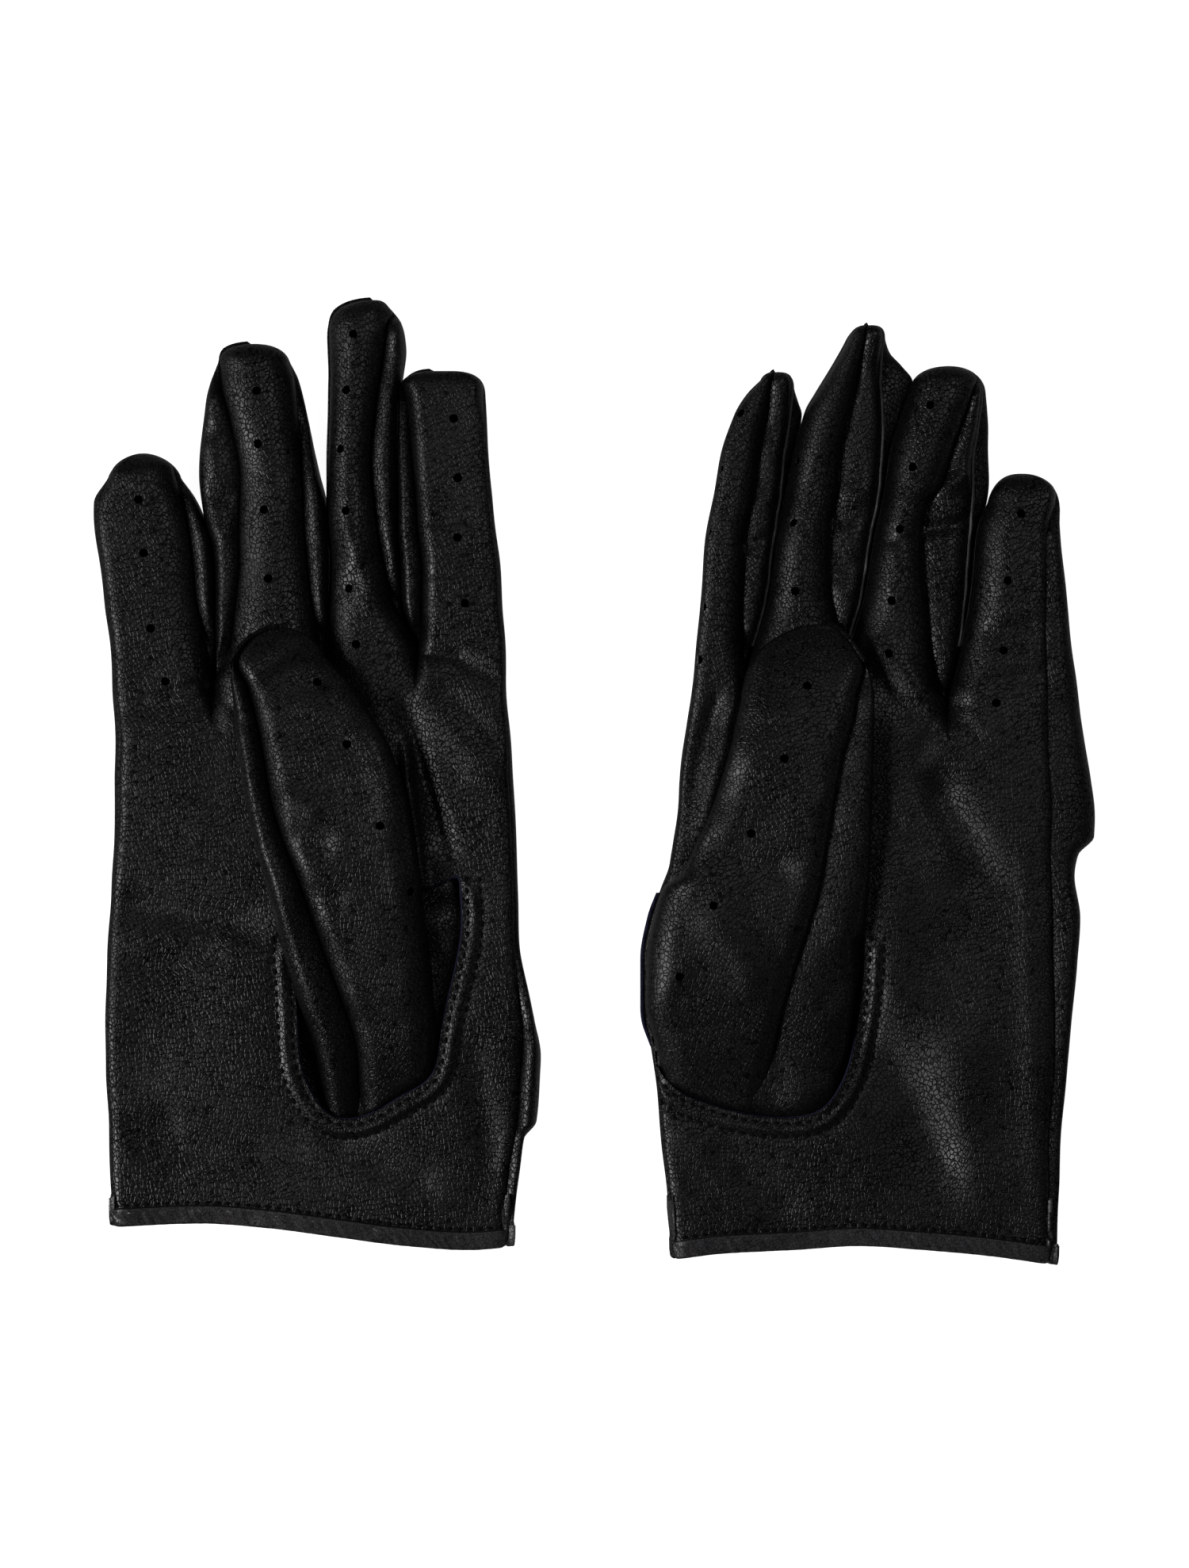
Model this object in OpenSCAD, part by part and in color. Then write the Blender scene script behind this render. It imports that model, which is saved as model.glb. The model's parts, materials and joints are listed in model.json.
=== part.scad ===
// A pair of leather driving gloves lying palm side up, with their thumbs folded over the palms.
// +X runs across the pair, +Y towards the fingertips, +Z up from the table the backs lie on.

/* [Leather] */
// Thickness of the leather
leather = 1; // [0.8:0.1:1.2]
// Thickness of the bonded lining
lining = 0.5; // [0.3:0.1:0.6]
// Diameter of the punched air holes
air_hole = 2.2; // [1.6:0.1:2.6]
// Distance between air holes along a finger
air_hole_pitch = 15; // [13:0.5:17]

/* [Hand] */
// Outside thickness of the glove as it lies
glove_deep = 14; // [14:0.5:17]
// Height of the wrist above the table, over the strap and its snap
wrist_lift = 5.2; // [5.2:0.1:6]
// Width of the bound mouth's binding
binding_wide = 5; // [4:0.5:8]
// Diameter of the knuckle holes
knuckle_hole = 12; // [8:0.5:14]

/* [Thumb] */
// Outside thickness of the thumb
thumb_deep = 11; // [10:0.5:13]
// Width of the thumb where it joins the palm
thumb_wide = 34; // [30:0.5:36]
// Radius of the thumb's tip
thumb_tip = 11; // [9:0.5:13]

/* [Strap] */
// Width of the wrist strap
strap_wide = 14; // [12:0.5:16]
// Diameter of the snap's cap
snap_wide = 12; // [10:0.5:13]

/* [Hidden] */
$fn = 48;

hide = "#1b1b1d";
knit = "#1c2440";
metal = "#3a3a3c";

// Each glove is drawn with its thumb towards +X, and the left-hand one is then mirrored.
// A finger is [low side, high side, tip's middle, tip's end, tip's radius].
pinky = 0;
ring = 1;
middle = 2;
index = 3;
right_fingers = [
    [-50, -23.4, -40, 80, 10],
    [-22.8, 3.2, -13.5, 107, 10],
    [3.8, 21.8, 13.6, 117.5, 9],
    [22.4, 46.7, 33, 100, 9.5]
];
left_fingers = [
    [-50, -26, -38.5, 75, 8.6],
    [-24.6, -1.3, -20, 101, 9],
    [0.9, 22, -1, 110.5, 8.5],
    [24.5, 42, 22, 99.5, 8]
];
// A glove is [fingers, height of each crotch, thumb's root, thumb's tip, end of the mouth].
right = [right_fingers, [24.5, 30, 32.5], [15, -60], [-6.5, 36.5], -111];
left = [left_fingers, [20.5, 30, 28], [26, -60], [9, 37.5], -117];
right_middle_x = -70;
left_middle_x = 68;

knuckle_line = 42; // the fold the fingers turn about, just past the thumb's tip
palm_gap = 2.4; // room for the folding edge
side_gap = 2.2; // room for that edge's inner corner
opening_top = -14;
opening_low = -33;
slit_x = -8;
slit_wide = 2;
palm_z = glove_deep - leather;
thumb_z = glove_deep + 1.4;
thumb_hole_r = 19;
thumb_hole_low = -63;
thumb_hole_high = -43;
strap_y = -84;
strap_z = 2.2;
strap_thick = 1.2;
strap_fold = 33.5;
strap_end = -26;
snap_x = -20;
stud_r = 1.9;
stud_clear = 0.3;

function mouth(g) = g[4] + binding_wide;
function finger(g, i) = g[0][i];

// Points on a circle from one angle to another
function arc(c, r, from, to, n = 12) =
    [for (i = [0:n]) let (a = from + (to - from) * i / n) c + r * [cos(a), sin(a)]];

module as_right() translate([right_middle_x, 0, 0]) children();
module as_left() translate([left_middle_x, 0, 0]) mirror([1, 0, 0]) children();

/* ---- fingers ---- */

module finger_outline(f, inset = 0) {
    polygon([
        [f[0] + inset, knuckle_line],
        [f[1] - inset, knuckle_line],
        [f[2] + f[4] - inset, f[3] - f[4]],
        [f[2] - f[4] + inset, f[3] - f[4]]
    ]);
    translate([f[2], f[3] - f[4]]) circle(f[4] - inset);
}

// The part of a drawing on one side of a finger's centre line, +1 towards the thumb
module beside(f, side) {
    base = (f[0] + f[1]) / 2;
    intersection() {
        children();
        polygon([
            [base, knuckle_line - 1],
            [base + side * 60, knuckle_line - 1],
            [f[2] + side * 60, f[3] + 1],
            [f[2], f[3] + 1],
            [f[2], f[3] - f[4]]
        ]);
    }
}

module finger_wall(f, side)
    translate([0, 0, leather])
        linear_extrude(glove_deep - 2 * leather)
            beside(f, side)
                difference() {
                    finger_outline(f);
                    translate([0, -0.01]) finger_outline(f, leather);
                }

module finger_front(g, i) {
    f = finger(g, i);
    base = (f[0] + f[1]) / 2;
    color(hide)
        translate([0, 0, palm_z])
            difference() {
                linear_extrude(leather) finger_outline(f);
                for (y = [f[3] - 11:-air_hole_pitch:knuckle_line + 4])
                    translate([base + (f[2] - base) * (y - knuckle_line) / (f[3] - knuckle_line), y, -1])
                        cylinder(d = air_hole, h = leather + 2);
            }
}

// The index and pinky backs wrap round the outer side of the glove up to the front
module finger_back(g, i) {
    f = finger(g, i);
    color(hide) {
        linear_extrude(leather) finger_outline(f);
        if (i == pinky) finger_wall(f, -1);
        if (i == index) finger_wall(f, 1);
    }
}

module fourchette(g, i, side)
    color(hide) finger_wall(finger(g, i), side);

/* ---- hand ---- */

module hand_outline(g, top, low, inset = 0) {
    f = g[0];
    polygon([
        [f[pinky][0] + inset, top],
        [-47.5 + inset, 10],
        [-49.5 + inset, -20],
        [-50 + inset, -70],
        [-48 + inset, low],
        [49.5 - inset, low],
        [54 - inset, -76],
        [54.5 - inset, -62],
        [50 - inset, -30],
        [48 - inset, 0],
        [f[index][1] - inset, top]
    ]);
}

// The narrow gap between two fingers, from the crotch up
module crotch_slit(g, i, grow = 0) {
    low = finger(g, i);
    high = finger(g, i + 1);
    x = (low[1] + high[0]) / 2;
    polygon([
        [x - grow - 0.05, g[1][i] - grow],
        [x + grow + 0.05, g[1][i] - grow],
        [high[0] + grow, knuckle_line],
        [low[1] - grow, knuckle_line]
    ]);
}

module crotch_slits(g) for (i = [pinky:middle]) crotch_slit(g, i);

module fourchette_bases(g)
    color(hide)
        translate([0, 0, leather])
            linear_extrude(glove_deep - 2 * leather)
                for (i = [pinky:middle])
                    difference() {
                        crotch_slit(g, i, leather);
                        crotch_slit(g, i);
                        translate([-80, knuckle_line - side_gap]) square([160, 10]);
                    }

module thumb_hole(g, grow = 0)
    translate([g[2][0] + 1, 0]) {
        translate([0, thumb_hole_low]) circle(thumb_hole_r + grow);
        translate([0, thumb_hole_high]) circle(thumb_hole_r + grow);
        translate([-thumb_hole_r - grow, thumb_hole_low])
            square([2 * (thumb_hole_r + grow), thumb_hole_high - thumb_hole_low]);
    }

module palm_panel(g)
    color(hide)
        translate([0, 0, palm_z])
            linear_extrude(leather)
                difference() {
                    hand_outline(g, knuckle_line - palm_gap, mouth(g));
                    crotch_slits(g);
                    thumb_hole(g);
                    for (i = [pinky:index])
                        translate([(finger(g, i)[0] + finger(g, i)[1]) / 2, knuckle_line - 9])
                            circle(d = air_hole);
                }

module palm_lining(g)
    color(knit)
        translate([0, 0, palm_z - lining])
            linear_extrude(lining)
                difference() {
                    hand_outline(g, g[1][pinky] - 4, mouth(g), 2);
                    thumb_hole(g, -1);
                }

// The back's height above the table: flat under the knuckles, rising to clear the strap
module back_profile(below, above)
    rotate([90, 0, 90])
        translate([0, 0, -80])
            linear_extrude(160)
                polygon([
                    [60, below], [-20, below], [-45, wrist_lift + below], [-130, wrist_lift + below],
                    [-130, wrist_lift + above], [-45, wrist_lift + above], [-20, above], [60, above]
                ]);

module back_shell(g) {
    intersection() {
        linear_extrude(glove_deep) hand_outline(g, knuckle_line - 0.4, mouth(g));
        back_profile(0, leather);
    }
    difference() {
        linear_extrude(palm_z)
            difference() {
                hand_outline(g, knuckle_line - side_gap, mouth(g));
                hand_outline(g, knuckle_line, mouth(g) - 1, leather);
            }
        back_profile(-20, leather / 2);
    }
}

// The half-moon over the back of the hand, running out through the little-finger edge
module back_opening()
    polygon(concat(
        [[-60, opening_low], [-60, opening_top]],
        arc([0, -94], 86, 112, 68),
        arc([27, -30], 8, 60, -60, 8),
        arc([0, 40], 86, 292, 248)
    ));

module wrist_slit()
    translate([slit_x - slit_wide / 2, -130]) square([slit_wide, 100]);

module flap_side() translate([-80, -130]) square([80 + slit_x, 130 + (opening_top + opening_low) / 2]);

module through() translate([0, 0, -1]) linear_extrude(glove_deep + 2) children();

module back_panel(g)
    color(hide)
        difference() {
            back_shell(g);
            through() {
                back_opening();
                wrist_slit();
                flap_side();
                crotch_slits(g);
                for (i = [pinky:index])
                    translate([(finger(g, i)[0] + finger(g, i)[1]) / 2, 8]) circle(d = knuckle_hole);
            }
        }

module wrist_flap(g)
    color(hide)
        difference() {
            intersection() {
                back_shell(g);
                through() flap_side();
            }
            through() {
                back_opening();
                wrist_slit();
            }
        }

// The binding folded round the mouth, open at the wrist slit
module hem_binding(g) {
    rim = 0.8;
    low = wrist_lift - rim;
    high = glove_deep + rim;
    wide = 97.5 + 2 * rim;
    color(hide)
        translate([0.75, mouth(g), 0])
            rotate([90, 0, 0])
                linear_extrude(binding_wide)
                    difference() {
                        translate([-wide / 2, low]) square([wide, high - low]);
                        translate([-wide / 2 + rim + leather, low + rim + leather])
                            square([wide - 2 * (rim + leather), high - low - 2 * (rim + leather)]);
                        translate([slit_x - slit_wide / 2 - 0.75, low - 1])
                            square([slit_wide, rim + leather + 2]);
                    }
}

// The thumb's sewn-in lower end, lying over the foot of the opening
module thumb_root(g)
    color(hide)
        translate([0, 0, glove_deep])
            linear_extrude(leather)
                intersection() {
                    thumb_hole(g, 2);
                    translate([-80, -130]) square([160, 130 + g[2][1] - 5]);
                }

/* ---- thumb ---- */

module along_thumb(g)
    translate([g[2][0], g[2][1], thumb_z])
        rotate([0, 0, atan2(g[3][1] - g[2][1], g[3][0] - g[2][0]) - 90])
            children();

function thumb_long(g) = norm(g[3] - g[2]);

module thumb_outline(g, inset = 0) {
    top = thumb_long(g) - thumb_tip;
    polygon([
        [-thumb_wide / 2 + inset, 0],
        [thumb_wide / 2 - inset, 0],
        [thumb_wide / 2 + 1 - inset, top * 0.35],
        [thumb_tip - inset, top],
        [-thumb_tip + inset, top],
        [-thumb_wide / 2 - 1 + inset, top * 0.35]
    ]);
    translate([0, top]) circle(thumb_tip - inset);
}

module thumb_front(g)
    color(hide)
        along_thumb(g)
            translate([0, 0, thumb_deep - leather])
                difference() {
                    linear_extrude(leather) thumb_outline(g);
                    for (y = [thumb_long(g) - 13:-17:20])
                        translate([2, y, -1]) cylinder(d = air_hole, h = leather + 2);
                }

// The thumb's back: its far wall starts past the opening so the wearer's thumb can enter
module thumb_back(g)
    color(hide)
        along_thumb(g) {
            linear_extrude(thumb_deep - leather)
                difference() {
                    thumb_outline(g);
                    translate([0, -0.01]) thumb_outline(g, leather);
                }
            linear_extrude(leather)
                difference() {
                    thumb_outline(g);
                    translate([-40, -1]) square([80, 41]);
                }
        }

/* ---- strap and snap ---- */

module strap_base()
    color(hide)
        translate([strap_fold - 17, strap_y - strap_wide / 2, strap_z + strap_thick + 0.3])
            cube([17, strap_wide, wrist_lift - strap_z - strap_thick - 0.3]);

module strap()
    color(hide) {
        translate([0, strap_y, strap_z])
            linear_extrude(strap_thick) {
                translate([strap_end + strap_wide / 2, -strap_wide / 2])
                    square([strap_fold - strap_end - strap_wide / 2, strap_wide]);
                translate([strap_end + strap_wide / 2, 0]) circle(d = strap_wide);
            }
        translate([strap_fold, strap_y + strap_wide / 2, strap_z + strap_thick / 2])
            rotate([90, 0, 0])
                cylinder(d = strap_thick, h = strap_wide);
    }

// A low domed cap, its face on the table
module snap_cap()
    color(metal)
        translate([snap_x, strap_y, 0])
            rotate_extrude()
                polygon(concat(
                    [[0, 0], [snap_wide / 2 - 2, 0]],
                    arc([snap_wide / 2 - 1.2, 1.2], 1.2, -60, 0, 6),
                    [[snap_wide / 2, strap_z], [0, strap_z]]
                ));

module snap_socket()
    color(metal)
        translate([snap_x, strap_y, strap_z + strap_thick])
            difference() {
                cylinder(r = snap_wide / 2 - 1, h = 1.1);
                translate([0, 0, 0.1]) cylinder(r = stud_r + stud_clear, h = 2);
            }

module snap_stud()
    color(metal)
        translate([snap_x, strap_y, 0]) {
            translate([0, 0, wrist_lift - 0.4]) cylinder(r = snap_wide / 2 - 1.5, h = 0.4);
            translate([0, 0, wrist_lift - 1.4]) cylinder(r = stud_r, h = 1.2);
        }

module snap_post()
    color(metal)
        translate([snap_x, strap_y, wrist_lift + leather])
            cylinder(r = snap_wide / 2 - 1.5, h = 0.8);

as_right() palm_panel(right);  // right_palm_panel
as_right() palm_lining(right);  // right_palm_lining
as_right() back_panel(right);  // right_back_panel
as_right() wrist_flap(right);  // right_wrist_flap
as_right() fourchette_bases(right);  // right_fourchette_bases
as_right() hem_binding(right);  // right_hem_binding
as_right() thumb_root(right);  // right_thumb_root
as_right() strap_base();  // right_strap_base
as_right() snap_stud();  // right_snap_stud
as_right() snap_post();  // right_snap_post
as_right() finger_front(right, index);  // right_index_front
as_right() finger_back(right, index);  // right_index_back
as_right() fourchette(right, index, -1);  // right_index_fourchette
as_right() finger_front(right, middle);  // right_middle_front
as_right() finger_back(right, middle);  // right_middle_back
as_right() fourchette(right, middle, 1);  // right_middle_inner_fourchette
as_right() fourchette(right, middle, -1);  // right_middle_outer_fourchette
as_right() finger_front(right, ring);  // right_ring_front
as_right() finger_back(right, ring);  // right_ring_back
as_right() fourchette(right, ring, 1);  // right_ring_inner_fourchette
as_right() fourchette(right, ring, -1);  // right_ring_outer_fourchette
as_right() finger_front(right, pinky);  // right_pinky_front
as_right() finger_back(right, pinky);  // right_pinky_back
as_right() fourchette(right, pinky, 1);  // right_pinky_fourchette
as_right() thumb_front(right);  // right_thumb_front
as_right() thumb_back(right);  // right_thumb_back
as_right() strap();  // right_strap
as_right() snap_cap();  // right_snap_cap
as_right() snap_socket();  // right_snap_socket
as_left() palm_panel(left);  // left_palm_panel
as_left() palm_lining(left);  // left_palm_lining
as_left() back_panel(left);  // left_back_panel
as_left() wrist_flap(left);  // left_wrist_flap
as_left() fourchette_bases(left);  // left_fourchette_bases
as_left() hem_binding(left);  // left_hem_binding
as_left() thumb_root(left);  // left_thumb_root
as_left() strap_base();  // left_strap_base
as_left() snap_stud();  // left_snap_stud
as_left() snap_post();  // left_snap_post
as_left() finger_front(left, index);  // left_index_front
as_left() finger_back(left, index);  // left_index_back
as_left() fourchette(left, index, -1);  // left_index_fourchette
as_left() finger_front(left, middle);  // left_middle_front
as_left() finger_back(left, middle);  // left_middle_back
as_left() fourchette(left, middle, 1);  // left_middle_inner_fourchette
as_left() fourchette(left, middle, -1);  // left_middle_outer_fourchette
as_left() finger_front(left, ring);  // left_ring_front
as_left() finger_back(left, ring);  // left_ring_back
as_left() fourchette(left, ring, 1);  // left_ring_inner_fourchette
as_left() fourchette(left, ring, -1);  // left_ring_outer_fourchette
as_left() finger_front(left, pinky);  // left_pinky_front
as_left() finger_back(left, pinky);  // left_pinky_back
as_left() fourchette(left, pinky, 1);  // left_pinky_fourchette
as_left() thumb_front(left);  // left_thumb_front
as_left() thumb_back(left);  // left_thumb_back
as_left() strap();  // left_strap
as_left() snap_cap();  // left_snap_cap
as_left() snap_socket();  // left_snap_socket
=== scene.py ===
"""A pair of black leather driving gloves lying palm up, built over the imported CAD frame.

Shapes are worked out in millimetres along the frame's own axes and scaled once, as each piece is made.
"""
import json
import math
from collections import Counter, namedtuple

import bpy
import numpy as np
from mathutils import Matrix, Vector, kdtree, noise


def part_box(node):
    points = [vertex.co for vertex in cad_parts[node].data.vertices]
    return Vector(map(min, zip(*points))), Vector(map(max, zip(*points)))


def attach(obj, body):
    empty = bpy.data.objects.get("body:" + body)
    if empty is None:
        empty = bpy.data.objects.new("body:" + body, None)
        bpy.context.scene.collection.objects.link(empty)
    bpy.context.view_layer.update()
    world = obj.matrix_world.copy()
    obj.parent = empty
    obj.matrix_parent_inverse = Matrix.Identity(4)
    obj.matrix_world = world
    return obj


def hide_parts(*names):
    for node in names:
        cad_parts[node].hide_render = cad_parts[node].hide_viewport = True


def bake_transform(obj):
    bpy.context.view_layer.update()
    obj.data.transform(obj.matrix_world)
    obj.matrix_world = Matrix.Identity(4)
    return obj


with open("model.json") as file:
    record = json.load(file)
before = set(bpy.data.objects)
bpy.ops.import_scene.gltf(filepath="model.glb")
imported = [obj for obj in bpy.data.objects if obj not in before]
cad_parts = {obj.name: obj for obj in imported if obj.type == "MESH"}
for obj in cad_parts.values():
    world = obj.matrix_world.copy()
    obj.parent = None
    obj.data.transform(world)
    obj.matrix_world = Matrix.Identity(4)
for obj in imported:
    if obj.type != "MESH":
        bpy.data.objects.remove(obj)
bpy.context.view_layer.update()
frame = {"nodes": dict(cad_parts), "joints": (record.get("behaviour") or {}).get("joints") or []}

MM = 0.001
JOINTS = {joint["name"]: joint for joint in frame["joints"]}
FOLD_Y = JOINTS["right_index_fold"]["pos_m"][1] / MM  # the line the fingers fold about
CUT_Y = FOLD_Y - 9  # where the finger pieces start
LEATHER = 0.8  # thickness of the leather
WRIST_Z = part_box("right_hem_binding")[0].z / MM + LEATHER  # height of the back at the wrist

STEP = 0.75  # size of a face on the leather
HEM_ROW = -110  # where the panels' rows end, before they are fitted to the bound mouth
HEM_FIT = -85  # above this height the rows are straight
SEAM_DROP = 6.5  # how far a panel rolls down towards a seam
ROLL = 8  # how wide that roll is
SIDE_DROP, SIDE_ROLL = 1.3, 2.6  # the same at the hand's outer seams
TUBE_SHARE = 0.7  # how much of a tube-like strip lies over the top
TUBE_RISE = 2.4  # how high its crest stands above its seam
TURN_UNDER = 2.5  # how far a strip turns in under its outline
TOUCH = 0.15  # how far fingers that touch press into each other
SAG = 0.5  # how far a flat back sinks towards the table
THUMB_LOW_Y = -86  # the thumb's lower end
AIR_HOLE = 1.1  # radius
STITCH = 2.6  # pitch of the sewing
STITCH_ROWS = 1.3, 4.6  # how far outside the thumb's opening its two rows of stitches run
FRONT_COLUMNS, SIDE_COLUMNS, BACK_COLUMNS, FINGER_BACK_COLUMNS = 34, 20, 90, 16  # faces across each


# ---- curves and small sums ----


def smooth(t):
    t = np.clip(t, 0, 1)
    return t * t * (3 - 2 * t)


def course(points):
    """A smooth line through (along, across) points that never overshoots them, level past its ends."""
    at, value = np.array(sorted(points), float).T
    gap = np.diff(at)
    slope = np.diff(value) / gap
    tangent = np.zeros(len(value))
    tangent[0] = slope[0]
    tangent[-1] = slope[-1]
    before, after = slope[:-1], slope[1:]
    together = before * after > 0
    tangent[1:-1] = np.where(together, 2 * before * after / np.where(together, before + after, 1), 0)

    def along(t):
        t = np.clip(t, at[0], at[-1])
        i = np.clip(np.searchsorted(at, t) - 1, 0, len(gap) - 1)
        u = (t - at[i]) / gap[i]
        return (
            value[i] * (1 + 2 * u) * (1 - u) ** 2
            + tangent[i] * gap[i] * u * (1 - u) ** 2
            + value[i + 1] * u * u * (3 - 2 * u)
            + tangent[i + 1] * gap[i] * u * u * (u - 1)
        )

    return along


def rounded_path(points, steps=8):
    """A Catmull-Rom curve through the points."""
    p = np.array(points, float)
    p = np.vstack([2 * p[0] - p[1], p, 2 * p[-1] - p[-2]])
    out = []
    for i in range(1, len(p) - 2):
        for t in np.arange(steps) / steps:
            out.append(
                0.5 * (2 * p[i] + (p[i + 1] - p[i - 1]) * t
                       + (2 * p[i - 1] - 5 * p[i] + 4 * p[i + 1] - p[i + 2]) * t ** 2
                       + (3 * p[i] - p[i - 1] - 3 * p[i + 1] + p[i + 2]) * t ** 3)
            )
    out.append(p[-2])
    return np.array(out)


def spaced(path, pitch, closed=False):
    """Points at equal steps along a path, with the direction at each."""
    path = np.asarray(path, float)
    if closed:
        path = np.vstack([path, path[:1]])
    length = np.r_[0, np.cumsum(np.linalg.norm(np.diff(path, axis=0), axis=1))]
    count = max(2, round(length[-1] / pitch))
    at = np.linspace(0, length[-1], count, endpoint=not closed)

    def place(along):
        return np.stack([np.interp(along, length, column) for column in path.T], -1)

    step = pitch / 4
    way = place(at + step) - place(at - step)
    return place(at), way / np.maximum(np.linalg.norm(way, axis=1, keepdims=True), 1e-9)


def depth_inside(x, y, outline):
    """Distance from the outline, positive inside it."""
    a = np.asarray(outline, float)
    b = np.roll(a, -1, axis=0)
    nearest = np.full(x.shape, 1e9)
    inside = np.zeros(x.shape, bool)
    for (ax, ay), (bx, by) in zip(a, b):
        dx, dy = bx - ax, by - ay
        t = np.clip(((x - ax) * dx + (y - ay) * dy) / max(dx * dx + dy * dy, 1e-9), 0, 1)
        nearest = np.minimum(nearest, np.hypot(x - ax - t * dx, y - ay - t * dy))
        crosses = (ay > y) != (by > y)
        inside ^= crosses & (x < ax + (y - ay) * dx / (dy if dy else 1))
    return np.where(inside, nearest, -nearest)


def bezier(a, c, b, t):
    return (1 - t) ** 2 * a + 2 * t * (1 - t) * c + t * t * b


def bulge(a, reach, b):
    """The middle handle that makes a curve from a to b reach just as far out as reach."""
    side = np.sign(reach - (a + b) / 2)
    return reach + side * np.sqrt(np.maximum((reach - a) * (reach - b), 0))


def roll(t):
    """A quarter round, 1 and upright at t = 0, level at t = 1."""
    return 1 - np.sqrt(np.maximum(1 - (1 - np.clip(t, 0, 1)) ** 2, 0))


def across(count):
    """Steps from 0 to 1 that crowd towards both ends."""
    t = np.linspace(0, 1, count + 1)
    return 0.4 * t + 0.6 * (1 - np.cos(np.pi * t)) / 2


def points_at(x, y, z):
    """x, y and z, numbers or arrays, as one array of points."""
    return np.stack(np.broadcast_arrays(x, y, z), -1)


def flat_tree(points):
    """Finds the point that is nearest as seen from above."""
    tree = kdtree.KDTree(len(points))
    for k, point in enumerate(points):
        tree.insert((point[0], point[1], 0), k)
    tree.balance()
    return tree


def sides_of(faces):
    """Every side of every face as a pair of points, in the face's own direction."""
    return [pair for face in faces.tolist() for pair in zip(face, face[1:] + face[:1])]


def ripple(x, y, z, size, seed):
    """Even noise of the given size, about -1 to 1."""
    x, y, z = np.broadcast_arrays(x, y, z)
    out = np.empty(x.shape)
    flat = out.reshape(-1)
    for i, (a, b, c) in enumerate(zip(x.flat, y.flat, z.flat)):
        flat[i] = noise.noise((a / size + seed, b / size, c / size))
    return out * 1.6


# ---- the two gloves ----

# Lines are (y, x) points from the mouth or a crotch up to the tip. A finger has its left outline, the
# seams of its front, its right outline, its back's raw edge where that shows, and its tip:
# (end, where it starts to round, squareness, lean). Where it touches the finger before it, its left
# outline follows that one's right outline for so many points.
Finger = namedtuple("Finger", "left right right_seam tip touching left_seam raw", defaults=(0, None, None))
# A thumb has its outline towards the fingers, the seam of its front, its far outline, and its crest's
# height, then its tip and its air holes.
Thumb = namedtuple("Thumb", "gusset seam edge top tip holes")
# hem is the mouth's edge over the palm. mouth_hole and notch bound the palm's opening for the thumb.
Glove = namedtuple("Glove", "side thumb_way ridge flat bands crotches fingers hem mouth_hole notch thumb "
                            "air_holes folds")

RIGHT_CROTCHES = [(-93.4, 24.6), (-66.2, 30), (-43.8, 32.5)]
RIGHT_FINGERS = [
    Finger(
        left=[(-110, -117.9), (-88, -119), (-60, -119.4), (-24, -118.2), (-14, -117.6), (5, -117.3),
              (24, -118), (45, -119.9), (68, -122.6), (74, -119.5)],
        left_seam=[(-110, -117.4), (-88, -118.5), (-60, -118.9), (-24, -117.4), (-5, -116), (8, -115.8),
                   (24, -116.9), (40, -118.3), (66, -121.2), (74, -119)],
        right_seam=[(45, -97.6), (61, -99.3), (68, -100.9), (76, -103.4)],
        right=[(45, -92.8), (57, -93.5), (64, -95.6), (69.4, -98.2), (74, -101.6)],
        tip=(80.2, 73.5, 1.8, 0),
    ),
    Finger(
        touching=2,
        left=[(64, -95.7), (75, -97.2), (92, -95.8), (98, -94.4), (102.5, -92.6)],
        left_seam=[(36, -88.9), (55, -87), (74, -87), (88, -89.6), (97, -91.8), (102.5, -92.2)],
        right_seam=[(40, -68.8), (55, -70.7), (84, -72.6), (98, -73.9), (102.5, -75.3)],
        right=[(40, -65.3), (55, -65), (68, -66), (75, -67.7), (88, -70.6), (98, -73), (102.5, -75)],
        tip=(106.9, 101.5, 2.4, 0.6),
    ),
    Finger(
        touching=2,
        left=[(68, -66.1), (75, -66.1), (110, -65.6)],
        right_seam=[(49, -51.1), (65, -53.8), (77, -55.2), (92, -54.1), (106, -51.6), (114, -50)],
        right=[(45, -47.25), (74, -48.45), (92, -48.55), (99.6, -47.4), (106, -46.4), (112, -47),
               (116, -48.6)],
        tip=(117.6, 108.5, 2.4, 3.2),
    ),
    Finger(
        touching=3,
        left=[],
        left_seam=[(40, -42.4), (50, -42.4), (64, -43.6), (80, -45.1), (94, -46.5)],
        right_seam=[(-110, -22.2), (-96, -21.4), (-84, -19.7), (-60, -17.8), (-47, -19.3), (-14, -20.7),
                    (0, -21.2), (18, -22.2), (50, -23.8), (75, -26.7), (94, -27.9)],
        right=[(-110, -20.3), (-95, -18.6), (-87, -17.8), (-83, -14.9), (-67, -13.4), (-58, -14.9),
               (-39, -18.6), (0, -20.1), (18, -21.6), (50, -23.1), (75, -26), (94, -27.3)],
        tip=(100.2, 92.5, 3.5, 0),
    ),
]
LEFT_CROTCHES = [(36.6, 28.1), (60.9, 30), (85.7, 20.4)]
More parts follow.
